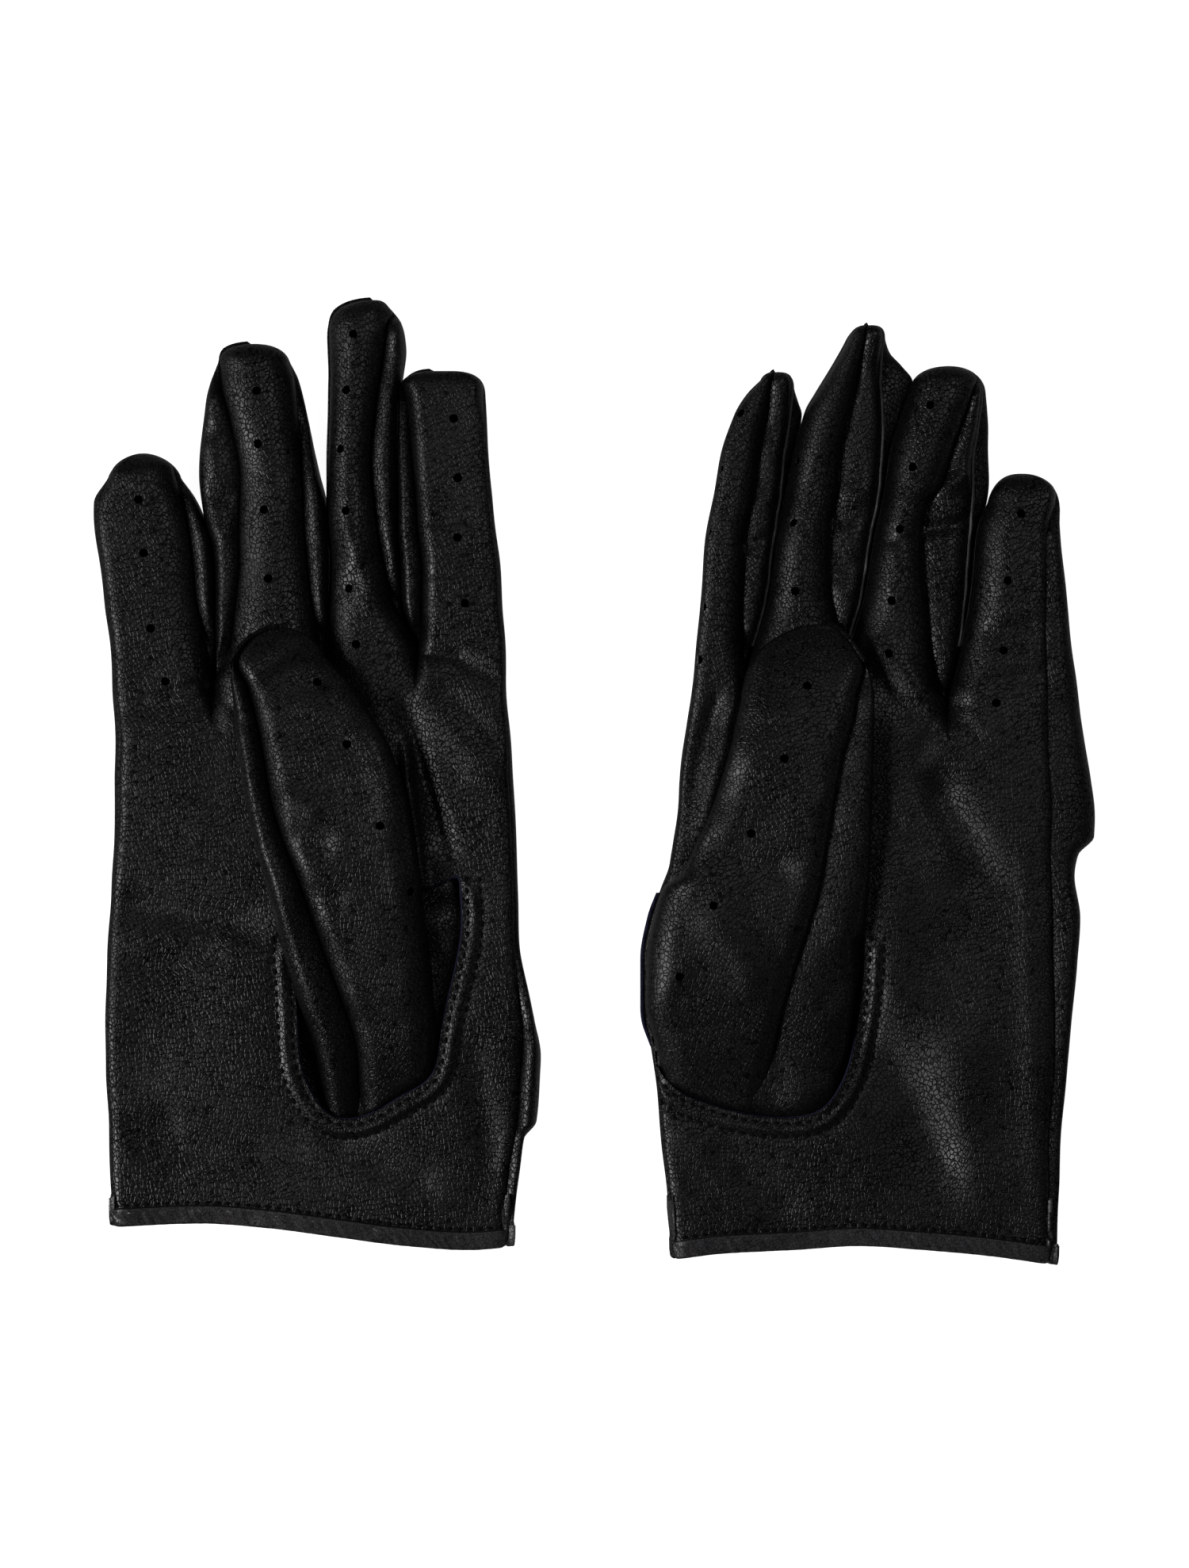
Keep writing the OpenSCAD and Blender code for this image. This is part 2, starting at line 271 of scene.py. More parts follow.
LEFT_FINGERS = [
    Finger(
        left=[(-110, 18.5), (-91, 16.3), (-75, 14.6), (-66, 13.2), (-55, 11.3), (-43, 11.3), (-33, 13),
              (-26, 15.6), (-20, 18), (0, 20.1), (20, 23), (44, 25.2), (61, 26.8), (76.5, 29.5),
              (89.6, 33.8), (94, 36.4), (98, 39.9)],
        right_seam=[(40, 35), (59, 36.1), (74, 38.4), (84, 40.2), (91, 41.8), (98, 42.6)],
        right=[(44, 41.45), (59, 44), (74, 46.9), (84, 49.4), (90, 50.5), (93, 49.6), (96, 48.6)],
        raw=[(44, 40.9), (59, 43.2), (74, 44.8), (86, 47), (95, 47.9)],
        tip=(100, 95.5, 3, 0),
    ),
    Finger(
        touching=4,
        left=[(91, 51.3), (94.5, 53.3), (98, 55.4), (102, 57.8), (107, 60.6), (110, 62)],
        right_seam=[(40, 58.1), (47, 56.8), (59, 57.2), (76.5, 59.1), (95, 63), (108, 65.4)],
        right=[(36, 62.95), (44, 65.35), (56.5, 67.85), (70, 70.15), (82, 72.6), (93, 76), (98, 77.7),
               (102, 74.8), (105, 72), (108, 70.8)],
        raw=[(36, 61.8), (44, 64), (56.5, 66.4), (70, 68.4), (86, 70.1), (101, 69.4), (108, 70.2)],
        tip=(111.4, 107.5, 3, 0.6),
    ),
    Finger(
        touching=5,
        left=[(93, 75.8), (96, 76.8)],
        right_seam=[(24, 82.8), (40, 80.7), (55, 79.5), (66.5, 80.4), (73, 84), (86, 88.8), (92, 91),
                    (98, 93)],
        right=[(36, 90), (51, 92.3), (63, 93.75), (68, 95.25), (75, 96), (86, 96.2), (96, 95.5)],
        raw=[(32, 88.3), (51, 90.4), (62.7, 91.4), (75, 91.6), (87, 93.4), (96, 94.4)],
        tip=(101.5, 95, 2.3, 0),
    ),
    Finger(
        touching=4,
        left=[],
        right_seam=[(-110, 110.2), (-91, 110.2), (-68, 111.2), (-21, 110.6), (16.5, 109.9), (40, 109.1),
                    (59, 109.6), (67, 111.4)],
        right=[(-110, 112.2), (-95, 112.9), (-75, 114.2), (-58, 115.5), (-45, 117), (-33, 117.8),
               (-24, 116.8), (-18, 117.8), (-13.5, 121.6), (1, 120.7), (16.5, 118.4), (36, 115.6),
               (47, 114.5), (63, 113.1)],
        tip=(75.2, 65.5, 2.3, -1),
    ),
]

RIGHT = Glove(
    side="right",
    thumb_way=1,
    ridge=1,  # how much its fourchettes stand up as tubes
    flat=3,  # the finger whose front lies flat right up to its left seam
    bands=["pinky", "ring", "middle", "index"],
    crotches=RIGHT_CROTCHES,
    fingers=RIGHT_FINGERS,
    hem=[(-118, -104.2), (-96, -103.3), (-80, -104.4), (-64, -106.5), (-47, -108.7), (-31, -109.8),
         (-20, -109)],
    mouth_hole=[(-74, -38), (-73, -55), (-71.8, -70), (-66, -80.5), (-58, -82), (-48, -77), (-39.8, -71),
                (-37.2, -58), (-32.8, -38), (-33, -24)],
    notch=[(-33.8, -22.6), (-40.3, -25.4), (-46, -25.5), (-70, -26)],
    thumb=Thumb(
        gusset=[(-86, -64.5), (-78, -66), (-63.5, -69.2), (-43, -75.8), (-28, -79.3), (-16, -82.4),
                (0, -85.7), (24, -88.9)],
        seam=[(-86, -56.5), (-81.5, -57.2), (-64, -58.6), (-40, -66.4), (-24, -72), (-4.8, -78.4),
              (11.7, -81.6), (28, -86.2)],
        edge=[(-86, -37), (-67, -38.4), (-44, -40.3), (-25.6, -42.6), (-8, -45.1), (8, -49.9),
              (20.6, -57.8), (30, -64)],
        top=[(-84, 11.5), (-76, 14), (-64, 18), (-45, 22), (-20, 25), (5, 25.2), (16, 24.2),
             (26, 22.3), (36, 19.4)],
        tip=(37.2, 23, 2.1, 0),
        holes=[(-67.6, 24), (-60.5, 9.2), (-51.8, -10.6), (-44.7, -26.7)],
    ),
    air_holes=[(-111.4, 68.7), (-110.1, 55.8), (-108, 37.5), (-104.9, 24.4), (-82.4, 95.4), (-82.2, 81.9),
               (-81.1, 66), (-79.7, 49), (-59.3, 109), (-61.1, 95.2), (-62.4, 80.6), (-61.2, 65.8),
               (-60.1, 47.1), (-58.6, 33.7), (-34.9, 88.3), (-33.9, 73.8), (-33.6, 59.6), (-32, 43.5)],
    # A fold is (x0, y0, x1, y1, half width, height, lean)
    folds=[
        (-44, 32, -33, 31, 1.8, -0.7, 0.6), (-35, 31, -23, 25, 2.2, -0.8, 0.6),
        (-46.5, 10, -42, -27, 1.5, 1.5, 0.3), (-43, 30, -24, -2, 5.5, 0.9, 0.3),
        (-40, 24, -24, 8, 3, -0.8, 0), (-56, 28, -47, -12, 4, 1.0, 0), (-48, 20, -36, -20, 2.6, -1.1, -0.6),
        (-93, 24, -101, 14, 1.8, -0.5, 0), (-93, 24, -92, 10, 2, -0.6, 0), (-93, 24, -84, 12, 1.8, -0.4, 0),
        (-93, 24, -106, 21, 1.6, -0.4, 0.5), (-118, 17, -98, 21, 3, -0.5, 0.3),
        (-66, 30, -66, 22, 1.8, -0.8, 0),
        (-118, -28, -80, -35, 5, -1.3, 0.5), (-114, -46, -90, -40, 3.5, -0.7, 0.4),
        (-114, -87, -102, -82, 5, -0.6, 0), (-108, -90, -64, -90, 7, -1.0, 0),
        (-30, -62, -24, -100, 4, -0.8, 0.3), (-66, -86, -38, -99, 5, -0.8, 0.3),
        (-46, 63, -28, 64, 1.2, -0.22, 0.6), (-46, 50, -30, 52, 1.6, -0.25, 0.6),
        (-45, 45, -24, 47, 1.8, -0.28, 0.5),
        (-60, 62, -52, 40, 2.6, 0.9, 0.3), (-64, 44, -50, 58, 2, -0.6, 0),
        (-96, 86, -88, 82, 2.4, -0.6, 0), (-95, 72, -89, 68, 2.6, -0.7, 0), (-94, 62, -88, 60, 2, 0.5, 0),
        (-76, -3, -66, -7, 3.4, 0.9, 0), (-74, -13, -63, -16, 3.6, -0.8, 0), (-70, -27, -60, -29, 4, -0.5, 0),
        (-84, 24, -70, 34, 2, -0.5, 0),
    ],
)
LEFT = Glove(
    side="left",
    thumb_way=-1,
    ridge=0.35,
    flat=None,
    bands=["index", "middle", "ring", "pinky"],
    crotches=LEFT_CROTCHES,
    fingers=LEFT_FINGERS,
    hem=[(18, -112.2), (31, -110.6), (48, -109.8), (64, -108.8), (80, -109.8), (96, -111.3), (112, -113.6)],
    mouth_hole=[(13.6, -27), (11, -36), (9.8, -50), (13, -66), (19, -74.6), (27.4, -78.6),
                (39.5, -81.5), (50.9, -81.5), (57, -78), (62, -68), (64.5, -52), (65.3, -38)],
    notch=[(60, -22), (28, -20)],
    thumb=Thumb(
        gusset=[(-86, 54), (-72, 59.1), (-53, 63), (-33, 65.3), (-12.7, 66.6), (11.5, 67), (31, 67)],
        seam=[(-86, 39.5), (-79.6, 40.3), (-66.7, 42.8), (-45, 48.4), (-28.8, 53.2), (-12.7, 56.4),
              (3.5, 58.9), (17, 62.2), (29, 63)],
        edge=[(-86, 24), (-75, 18), (-65, 14.4), (-53, 12), (-43.5, 12), (-33, 13.8), (-25.6, 16.3),
              (-21.9, 20.7), (-16, 23.8), (-6.2, 28.2), (7.5, 32.2), (19.6, 34.8)],
        top=[(-84, 11), (-76, 13.5), (-66, 17), (-50, 21.5), (-20, 24.5), (5, 24.8), (16, 23.8),
             (26, 21.9), (37, 18.6)],
        tip=(38.2, 19.5, 1.9, 3.5),
        holes=[(50.9, 23.1), (45.1, 5.6), (36.8, -12.5), (27.6, -29.8), (20.3, -47.3)],
    ),
    air_holes=[(34.9, 90), (29.7, 76.5), (27, 60.8), (25.9, 42.7), (24.9, 29.6), (48.8, 78.5), (47.8, 63.1),
               (48, 46.5), (81.1, 91.5), (76.6, 76.2), (73.9, 61.3), (71.8, 44), (71.1, 30.8), (103, 65),
               (100.1, 49), (98.9, 32.1), (97.6, 19.2)],
    folds=[
        (85, 20, 78, 4, 2.4, -0.5, 0), (86, 20, 94, 8, 2.2, -0.5, 0), (86, 20, 100, 17, 2, -0.4, 0.4),
        (85, 20, 74, 17, 2, -0.4, 0), (68, 34, 82, 22, 3, 0.8, 0.3), (66, 27, 78, 14, 3, -0.7, 0),
        (82, 2, 98, -26, 5.5, -1.8, 0.6), (76, -2, 86, -24, 5, 0.7, 0), (58, -46, 90, -100, 8, -2.1, 0.4),
        (86, -60, 92, -104, 7, 1.2, 0), (72, -8, 72, -60, 6, 0.8, 0), (104, -14, 107, -104, 3, 0.5, 0),
        (36.6, 27, 33, 10, 1.6, -0.8, 0), (36, 24, 25, -14, 2.6, 1.3, 0.3), (30, 22, 21, -10, 2, -0.8, 0),
        (28, -90, 50, -106, 5, -0.8, 0), (20, -84, 34, -96, 4, 0.5, 0),
        (26, -30, 40, -52, 6, 1.2, 0), (26, -16, 48, -22, 4, -1.2, 0.3), (54, -70, 56, -80, 4, 1.3, 0),
        (46, -56, 56, -64, 3, -0.9, 0),
        (36, 57, 42, 60, 2, -0.6, 0.4), (36, 66, 43, 70, 2, 0.4, 0), (36, 78, 45, 82, 2.4, 0.3, 0),
        (57, 63, 66, 66, 2.4, -0.6, 0), (58, 54, 66, 52, 2.4, -0.6, 0), (58, 70, 68, 72, 2.4, 0.4, 0),
        (57, 47, 65, 46, 2, 0.4, 0), (80, 62, 92, 64, 2, -0.9, 0.6), (82, 70, 92, 76, 2, 0.9, 0),
        (94, 36, 108, 39, 2.4, -0.6, 0.6), (93, 24, 110, 27, 2.4, -0.5, 0.5),
        (68, 60, 80, 58, 2.4, -0.6, 0.4),
    ],
)


def has_neighbour(glove, i, way):
    return 0 <= i + way < len(glove.fingers)


def crotch_beside(i, way):
    return i if way > 0 else i - 1


def crotch_y(glove, i, way):
    """Height of the crotch on one side of a finger, endlessly low on the hand's outer sides."""
    return glove.crotches[crotch_beside(i, way)][1] if has_neighbour(glove, i, way) else -np.inf


def finger_lines(glove, i):
    """The finger's lines as courses, each starting from its crotch."""
    f = glove.fingers[i]
    left_start, right_start = (
        [glove.crotches[crotch_beside(i, way)][::-1]] if has_neighbour(glove, i, way) else []
        for way in (-1, 1)
    )
    touching = [(y, x - TOUCH) for y, x in glove.fingers[i - 1].right[: f.touching]]
    left = course(left_start + touching + f.left)
    right = course(right_start + f.right)
    hidden = 0.5  # a seam that doesn't show runs this far inside its outline, and closes on it at the crotch
    if f.left_seam:
        left_seam = course(left_start + f.left_seam)
    else:
        left_seam = lambda y: left(y) + hidden * smooth((y - crotch_y(glove, i, -1)) / 6)
    right_seam = course(right_start + f.right_seam)
    raw = course(right_start + f.raw) if f.raw else None
    return left, left_seam, right_seam, right, raw


LINES = {
    (glove.side, i): finger_lines(glove, i)
    for glove in (RIGHT, LEFT)
    for i in range(len(glove.fingers))
}


def lines_at(glove, i, y):
    """x of the finger's left outline, its front's seams, its right outline and its raw edge at height y.

    At the tip a seam that runs close to its outline joins it, so that the front closes the tip over.
    """
    left, left_seam, right_seam, right, raw = (line(y) if line else None for line in LINES[glove.side, i])
    end, start, _, _ = glove.fingers[i].tip
    closing = smooth((y - start) / (0.75 * (end - start)))
    left_seam += (left - left_seam) * closing * (1 - smooth((abs(left - left_seam) - 1.5) / 2))
    right_seam += (right - right_seam) * closing * (1 - smooth((abs(right - right_seam) - 1.5) / 2))
    return left, left_seam, right_seam, right, raw


def tip_rows(low, tip):
    """Rows from low to the tip, crowding where the tip rounds over."""
    end, start, _, _ = tip
    straight = np.linspace(low, start, round((start - low) / STEP))
    turn = np.sin(np.linspace(0, np.pi / 2, round(1.8 * (end - start) / STEP)))
    return np.r_[straight, start + (end - start) * turn[1:]]


def closed_tip(tip, y):
    """How far the tip has rounded over at y, from 0 to 1, and the scale and shift of the section there."""
    end, start, power, lean = tip
    t = np.clip((y - start) / (end - start), 0, 1)
    return t, np.maximum(1 - t ** power, 0) ** (1 / power), lean * t * t


def shrink(glove, i, y, x, z):
    """Draws a section in towards the middle of the finger as its tip closes."""
    _, scale, shift = closed_tip(glove.fingers[i].tip, y)
    left, _, _, right, _ = lines_at(glove, i, y)
    centre = (left + right) / 2 + shift
    return centre + (x - centre) * scale, MID_Z + (z - MID_Z) * scale ** 0.75


# ---- heights ----

CROWN = course([(-110, 10.8), (-90, 12.2), (-60, 13.1), (0, 13.6), (30, 13.4), (60, 13), (120, 12)])
MID_Z = 6  # half way up a finger


def back_z(y):
    """The back lies on the table at the knuckles and rises to clear the strap's snap."""
    knuckle_z = 0.3
    return knuckle_z + (WRIST_Z - knuckle_z) * smooth((-18 - y) / 28)


def relief(glove, x, y):
    """Folds and creases: how far the leather stands above its plain shape."""
    out = np.zeros(x.shape)
    for x0, y0, x1, y1, wide, high, lean in glove.folds:
        dx, dy = x1 - x0, y1 - y0
        long = math.hypot(dx, dy)
        t = ((x - x0) * dx + (y - y0) * dy) / long ** 2
        side = ((x - x0) * dy - (y - y0) * dx) / long / wide
        ends = smooth((t + 0.12) / 0.3) * smooth((1.12 - t) / 0.35)
        bell = np.exp(-side ** 2)
        out += high * ends * (bell + lean * side * bell)
    return out


# ---- sheets of faces ----


class Sheet:
    """Grids of faces welded where they meet. Each face has a tag saying which piece it belongs to."""

    def __init__(self):
        self.points = []
        self.faces = []
        self.tags = []
        self.count = 0

    def grid(self, points, tag, flip=False):
        """points is rows x columns x 3, and tag is one tag or one for each row of faces."""
        rows, cols = points.shape[:2]
        index = self.count + np.arange(rows * cols).reshape(rows, cols)
        quads = np.stack([index[:-1, :-1], index[:-1, 1:], index[1:, 1:], index[1:, :-1]], -1)
        if flip:
            quads = quads[..., ::-1]
        tags = [tag] * (rows - 1) if isinstance(tag, str) else tag
        self.points.append(points.reshape(-1, 3))
        self.faces.append(quads.reshape(-1, 4))
        self.tags += [t for t in tags for _ in range(cols - 1)]
        self.count += rows * cols

    def weld(self):
        """Joins points that coincide, then works out the normals of the whole sheet."""
        points = np.vstack(self.points)
        faces = np.vstack(self.faces)
        _, first, same = np.unique(np.round(points, 3), axis=0, return_index=True, return_inverse=True)
        self.points = points[first]
        self.faces = same.reshape(-1)[faces]
        self.tags = np.array(self.tags)
        self.find_normals()
        return self

    def find_normals(self):
        p = self.points[self.faces]
        normal = np.cross(p[:, 2] - p[:, 0], p[:, 3] - p[:, 1])
        total = np.zeros_like(self.points)
        for k in range(4):
            np.add.at(total, self.faces[:, k], normal)
        self.normals = total / np.maximum(np.linalg.norm(total, axis=1, keepdims=True), 1e-9)

    def keep(self, wanted):
        self.faces = self.faces[wanted]
        self.tags = self.tags[wanted]

    def middles(self):
        return self.points[self.faces].mean(1)

    def cut(self, outline, low_z=None, high_z=None):
        """Cuts an outline, seen from above, through the faces between two heights, and trims to its edge."""
        middle = self.middles()
        gone = depth_inside(middle[:, 0], middle[:, 1], outline) > 0
        if low_z is not None:
            gone &= middle[:, 2] > low_z
        if high_z is not None:
            gone &= middle[:, 2] < high_z
        rim = np.intersect1d(self.faces[gone], self.faces[~gone])
        self.keep(~gone)
        tree = flat_tree(spaced(np.vstack([outline, outline[:1]]), 0.15)[0])
        for i in rim:
            near, _, far = tree.find((self.points[i, 0], self.points[i, 1], 0))
            if far < 1.3 * STEP:
                self.move_flat(i, near[0], near[1])
            elif high_z is not None and abs(self.points[i, 2] - high_z) < 2:
                self.points[i, 2] = high_z

    def move_flat(self, i, x, y):
        """Slides a point to (x, y) along the surface."""
        dx, dy = x - self.points[i, 0], y - self.points[i, 1]
        nx, ny, nz = self.normals[i]
        if abs(nz) > 0.3:
            self.points[i, 2] -= (nx * dx + ny * dy) / nz
        self.points[i, :2] = x, y

    def punch(self, x, y, radius):
        """A round hole in the upper side at (x, y)."""
        middle = self.middles()
        height = np.where(np.hypot(middle[:, 0] - x, middle[:, 1] - y) < 2, middle[:, 2], -1e9)
        if height.max() < 0:
            return
        centre = middle[np.argmin(np.hypot(middle[:, 0] - x, middle[:, 1] - y) - 0.02 * middle[:, 2])]
        gone = np.linalg.norm(middle - centre, axis=1) < radius
        rim = np.intersect1d(self.faces[gone], self.faces[~gone])
        self.keep(~gone)
        away = self.points[rim] - centre
        self.points[rim] = centre + away * (radius / np.linalg.norm(away, axis=1, keepdims=True))

    def part(self, tag):
        """(points, normals, faces) of the faces with this tag."""
        faces = self.faces[self.tags == tag]
        used, index = np.unique(faces, return_inverse=True)
        return self.points[used], self.normals[used], index.reshape(-1, 4)


def lone_sheet(points, tag, flip=False):
    sheet = Sheet()
    sheet.grid(points, tag, flip)
    return sheet


def thicken(points, normals, faces, depth):
    """Adds the leather's inner face and its cut edges."""
    count = len(points)
    inner = points - normals * depth
    inner[:, 2] = np.maximum(inner[:, 2], 0.05)
    seen = dict.fromkeys((a, b) for a, b in sides_of(faces) if a != b)
    rims = [(b, a, a + count, b + count) for a, b in seen if (b, a) not in seen]
    all_faces = [faces, faces[:, ::-1] + count]
    if rims:
        all_faces.append(np.array(rims))
    return np.vstack([points, inner]), np.vstack([normals, -normals]), np.vstack(all_faces)


# ---- making pieces ----


def place_new(name, data):
    """A new object in the scene."""
    made = bpy.data.objects.new(name, data)
    bpy.context.scene.collection.objects.link(made)
    return made


def make(name, shape, material, body, nodes=(), blend_from=None):
    """One visible piece from (points, normals, faces) in millimetres."""
    points, normals, faces = shape
    clean = [list(dict.fromkeys(face)) for face in faces.tolist()]
    clean = [face for face in clean if len(face) > 2]
    mesh = bpy.data.meshes.new(name)
    mesh.from_pydata((points * MM).tolist(), [], clean)
    mesh.polygons.foreach_set("use_smooth", [True] * len(mesh.polygons))
    rest = mesh.attributes.new("rest", "FLOAT_VECTOR", "POINT")
    rest.data.foreach_set("vector", (points * MM).astype(np.float32).ravel())
    if normals is not None:
        mesh.normals_split_custom_set_from_vertices(normals.tolist())
    mesh.materials.append(material)
    piece = place_new(name, mesh)
    if blend_from:
        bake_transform(piece)
    else:
        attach(piece, body)
    if nodes:
        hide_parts(*nodes)
    return piece


def joined(shapes):
    """Several (points, faces) as one, with no normals of its own."""
    count = 0
    points, faces = [], []
    for p, f in shapes:
        points.append(p)
        faces.append(np.asarray(f) + count)
        count += len(p)
    return np.vstack(points), None, np.vstack(faces)


# ---- materials ----


def new_material(name):
    material = bpy.data.materials.new(name)
    material.use_nodes = True
    tree = material.node_tree
    return material, tree, tree.nodes["Principled BSDF"]


def feed(tree, fed, inputs):
    """Gives a node its inputs: a socket is linked, and anything else is a value."""
    for key, value in inputs.items():
        if isinstance(value, bpy.types.NodeSocket):
            tree.links.new(value, fed.inputs[key])
        else:
            fed.inputs[key].default_value = value


def node(tree, kind, inputs, **settings):
    made = tree.nodes.new("ShaderNode" + kind)
    for key, value in settings.items():
        setattr(made, key, value)
    feed(tree, made, inputs)
    return made


def rest_place(tree):
    """Where a point lies in the resting piece, so that the pattern stays put as the piece bends."""
    return node(tree, "Attribute", {}, attribute_name="rest").outputs["Vector"]


def clouds(tree, place, scale, detail, output="Fac"):
    return node(tree, "TexNoise", {"Vector": place, "Scale": scale, "Detail": detail}).outputs[output]


def cells(tree, place, scale, feature):
    return node(tree, "TexVoronoi", {"Vector": place, "Scale": scale}, feature=feature).outputs["Distance"]


def ramp(tree, value, low, high, to_low=0.0, to_high=1.0):
    inputs = {"Value": value, "From Min": low, "From Max": high, "To Min": to_low, "To Max": to_high}
    return node(tree, "MapRange", inputs, interpolation_type="SMOOTHSTEP").outputs["Result"]


def combine(tree, a, b, operation="MULTIPLY"):
    return node(tree, "Math", {0: a, 1: b}, operation=operation).outputs[0]


def combine_vectors(tree, a, b, operation):
    return node(tree, "VectorMath", {0: a, 1: b}, operation=operation).outputs[0]


def mix(tree, factor, low, high):
    inputs = {"Factor": factor, "A": (*low, 1), "B": (*high, 1)}
    return node(tree, "Mix", inputs, data_type="RGBA").outputs["Result"]


def bumps(tree, height, strength, distance, under=None):
    inputs = {"Height": height, "Strength": strength, "Distance": distance}
    if under:
        inputs["Normal"] = under
    return node(tree, "Bump", inputs).outputs["Normal"]


def lit(colour, by):
    return tuple(part * by for part in colour)


def leather(name, colour, rough=0.4, cell=1.05, grain=1.0):
    """Grained leather: cracked pebbles over finer pores, with painted shade darkening the cracks, and slow
    changes in colour and shine.
    """
    material, tree, shader = new_material(name)
    place = rest_place(tree)
    sway = clouds(tree, place, 260, 2, "Color")
    bent = node(tree, "VectorMath", {0: sway, "Scale": 0.0012}, operation="SCALE").outputs[0]
    moved = combine_vectors(tree, place, bent, "ADD")
    moved = combine_vectors(tree, moved, (1.1, 0.9, 1), "MULTIPLY")
    crack = ramp(tree, cells(tree, moved, 1000 / cell, "DISTANCE_TO_EDGE"), 0.0, 0.16)
    strength = ramp(tree, clouds(tree, place, 70, 3), 0.35, 0.65, 0.7, 1.0)
    pore = combine(tree, cells(tree, moved, 2600 / cell, "F1"), 0.35)
    height = combine(tree, combine(tree, crack, strength), pore, "ADD")
    bump = bumps(tree, height, 0.42 * grain, 0.00016)
    slow = clouds(tree, place, 32, 4)
    # Darker colour in the cracks: partly the grain's own dark lines, partly painted shade in the crack
    # recesses. The slow changes in tone are the leather's own.
    crack_shade_and_tone = combine(tree, ramp(tree, crack, 0, 1, 0.4, 1.0), ramp(tree, slow, 0.3, 0.7, 0.8, 1.15))
    in_crack = combine(tree, combine(tree, 1.0, crack, "SUBTRACT"), strength)
    feed(tree, shader, {
        "Base Color": mix(tree, crack_shade_and_tone, (0, 0, 0), colour),
        "Roughness": ramp(tree, slow, 0.25, 0.75, rough - 0.05, rough + 0.07),
        "Specular IOR Level": ramp(tree, in_crack, 0, 1, 0.5, 0.08),
        "Normal": bumps(tree, clouds(tree, place, 210, 3), 0.16, 0.0009, bump),
    })
    return material


def cloth(name, colour, scale=2200, shine=0.5):
    """A fine knit with a little fuzz."""
    material, tree, shader = new_material(name)
    place = rest_place(tree)
    waves = {"Vector": place, "Scale": scale / 6, "Distortion": 3, "Detail": 2}
    knit = node(tree, "TexWave", waves).outputs["Fac"]
    fuzz = clouds(tree, place, scale, 3)
    feed(tree, shader, {
        "Base Color": mix(tree, fuzz, lit(colour, 0.6), lit(colour, 1.4)),
        "Normal": bumps(tree, combine(tree, knit, fuzz), 0.6, 0.0003),
        "Roughness": 0.9,
        "Specular IOR Level": shine,
    })
    return material


def metal(name, colour):
    """Black nickel with fine wear."""
    material, tree, shader = new_material(name)
    place = node(tree, "TexCoord", {}).outputs["Object"]
    wear = clouds(tree, place, 900, 4)
    feed(tree, shader, {
        "Base Color": mix(tree, ramp(tree, wear, 0.45, 0.75), colour, lit(colour, 2.2)),
        "Roughness": ramp(tree, wear, 0.3, 0.7, 0.22, 0.4),
        "Normal": bumps(tree, wear, 0.15, 0.0001),
        "Metallic": 1,
    })
    return material


BLACK = (0.0048, 0.0043, 0.0048)
HIDE = leather("black_leather", BLACK, rough=0.36)
# The binding is the black leather made far lighter in colour: painted light standing in for the light its
# rolled edge catches.
BINDING_PAINTED_LIGHT = leather("binding_leather_painted_light", (0.046, 0.043, 0.046), rough=0.36, cell=0.8, grain=0.35)
RAW_EDGE = cloth("raw_edge", (0.13, 0.13, 0.135))
KNIT = cloth("navy_lining", (0.008, 0.010, 0.040))
THREAD = cloth("black_thread", (0.003, 0.003, 0.0035), 4000, shine=0.15)
NICKEL = metal("black_nickel", (0.10, 0.10, 0.105))


# ---- the hand and fingers ----


def band_edges(glove, i, y):
    """x of a front band's left and right edge at height y, and how far it rolls down at each."""
    left, left_seam, right_seam, right, _ = lines_at(glove, i, y)
    edges = []
    for way, seam, shows in ((-1, left_seam, left_seam - left), (1, right_seam, right - right_seam)):
        if y < crotch_y(glove, i, way):
            edges.append(valley_below(glove, crotch_beside(i, way), y))
        else:
            edges.append((seam, seam_drop(glove, i, way, y, shows)))
    return edges


def seam_drop(glove, i, way, y, shows):
    """How deep a front's seam lies: less with much of the next strip showing, least on a broad tip."""
    end, start, _, _ = glove.fingers[i].tip
    if not has_neighbour(glove, i, way):
        return SIDE_DROP + (SEAM_DROP - SIDE_DROP) * smooth((y - start + 6) / 10)
    wide = smooth((shows - 1.5) / 3)
    deep = SEAM_DROP - 1.8 * wide * smooth((y - 20) / 20)
    return deep * (1 - 0.6 * wide * smooth((y - end + 14) / 13))


def valley_below(glove, crotch, y):
    """Below its crotch a band's edge is a line down to the hem, its valley fading out."""
    fade = 16
    cx, cy = glove.crotches[crotch]
    first, last = glove.hem[0][0], glove.hem[-1][0]
    hem_x = first + (last - first) * (crotch + 1) / len(glove.fingers)
    t = (cy - y) / (cy - HEM_ROW)
    return cx + (hem_x - cx) * t, SEAM_DROP * (1 - smooth((cy - y) / fade)) ** 2


def fit_hem(glove, x, y):
    """Moves the lowest rows so that the last one follows the bound mouth."""
    hem = course(glove.hem)
    t = np.clip((HEM_FIT - y) / (HEM_FIT - HEM_ROW), 0, 1)
    return np.where(y < HEM_FIT, HEM_FIT + t * (hem(x) - HEM_FIT), y)


def hand_rows(glove):
    rows = np.linspace(HEM_ROW, CUT_Y, round((CUT_Y - HEM_ROW) / STEP))
    for _, y in glove.crotches:
        rows[np.argmin(abs(rows - y))] = y
    return rows


def finger_rows(glove, i):
    return tip_rows(CUT_Y, glove.fingers[i].tip)


def front_row(glove, i, y, m):
    """One row of a front band as x and z."""
    (x0, drop0), (x1, drop1) = band_edges(glove, i, y)
    x = x0 + (x1 - x0) * m
    rolls = (ROLL if has_neighbour(glove, i, way) else SIDE_ROLL for way in (-1, 1))
    roll0, roll1 = (min(wide, (x1 - x0) / 2) for wide in rolls)
    if i == glove.flat:
        roll0 *= 0.45
    z = CROWN(y) - drop0 * roll((x - x0) / roll0) - drop1 * roll((x1 - x) / roll1)
    return shrink(glove, i, y, x, z)


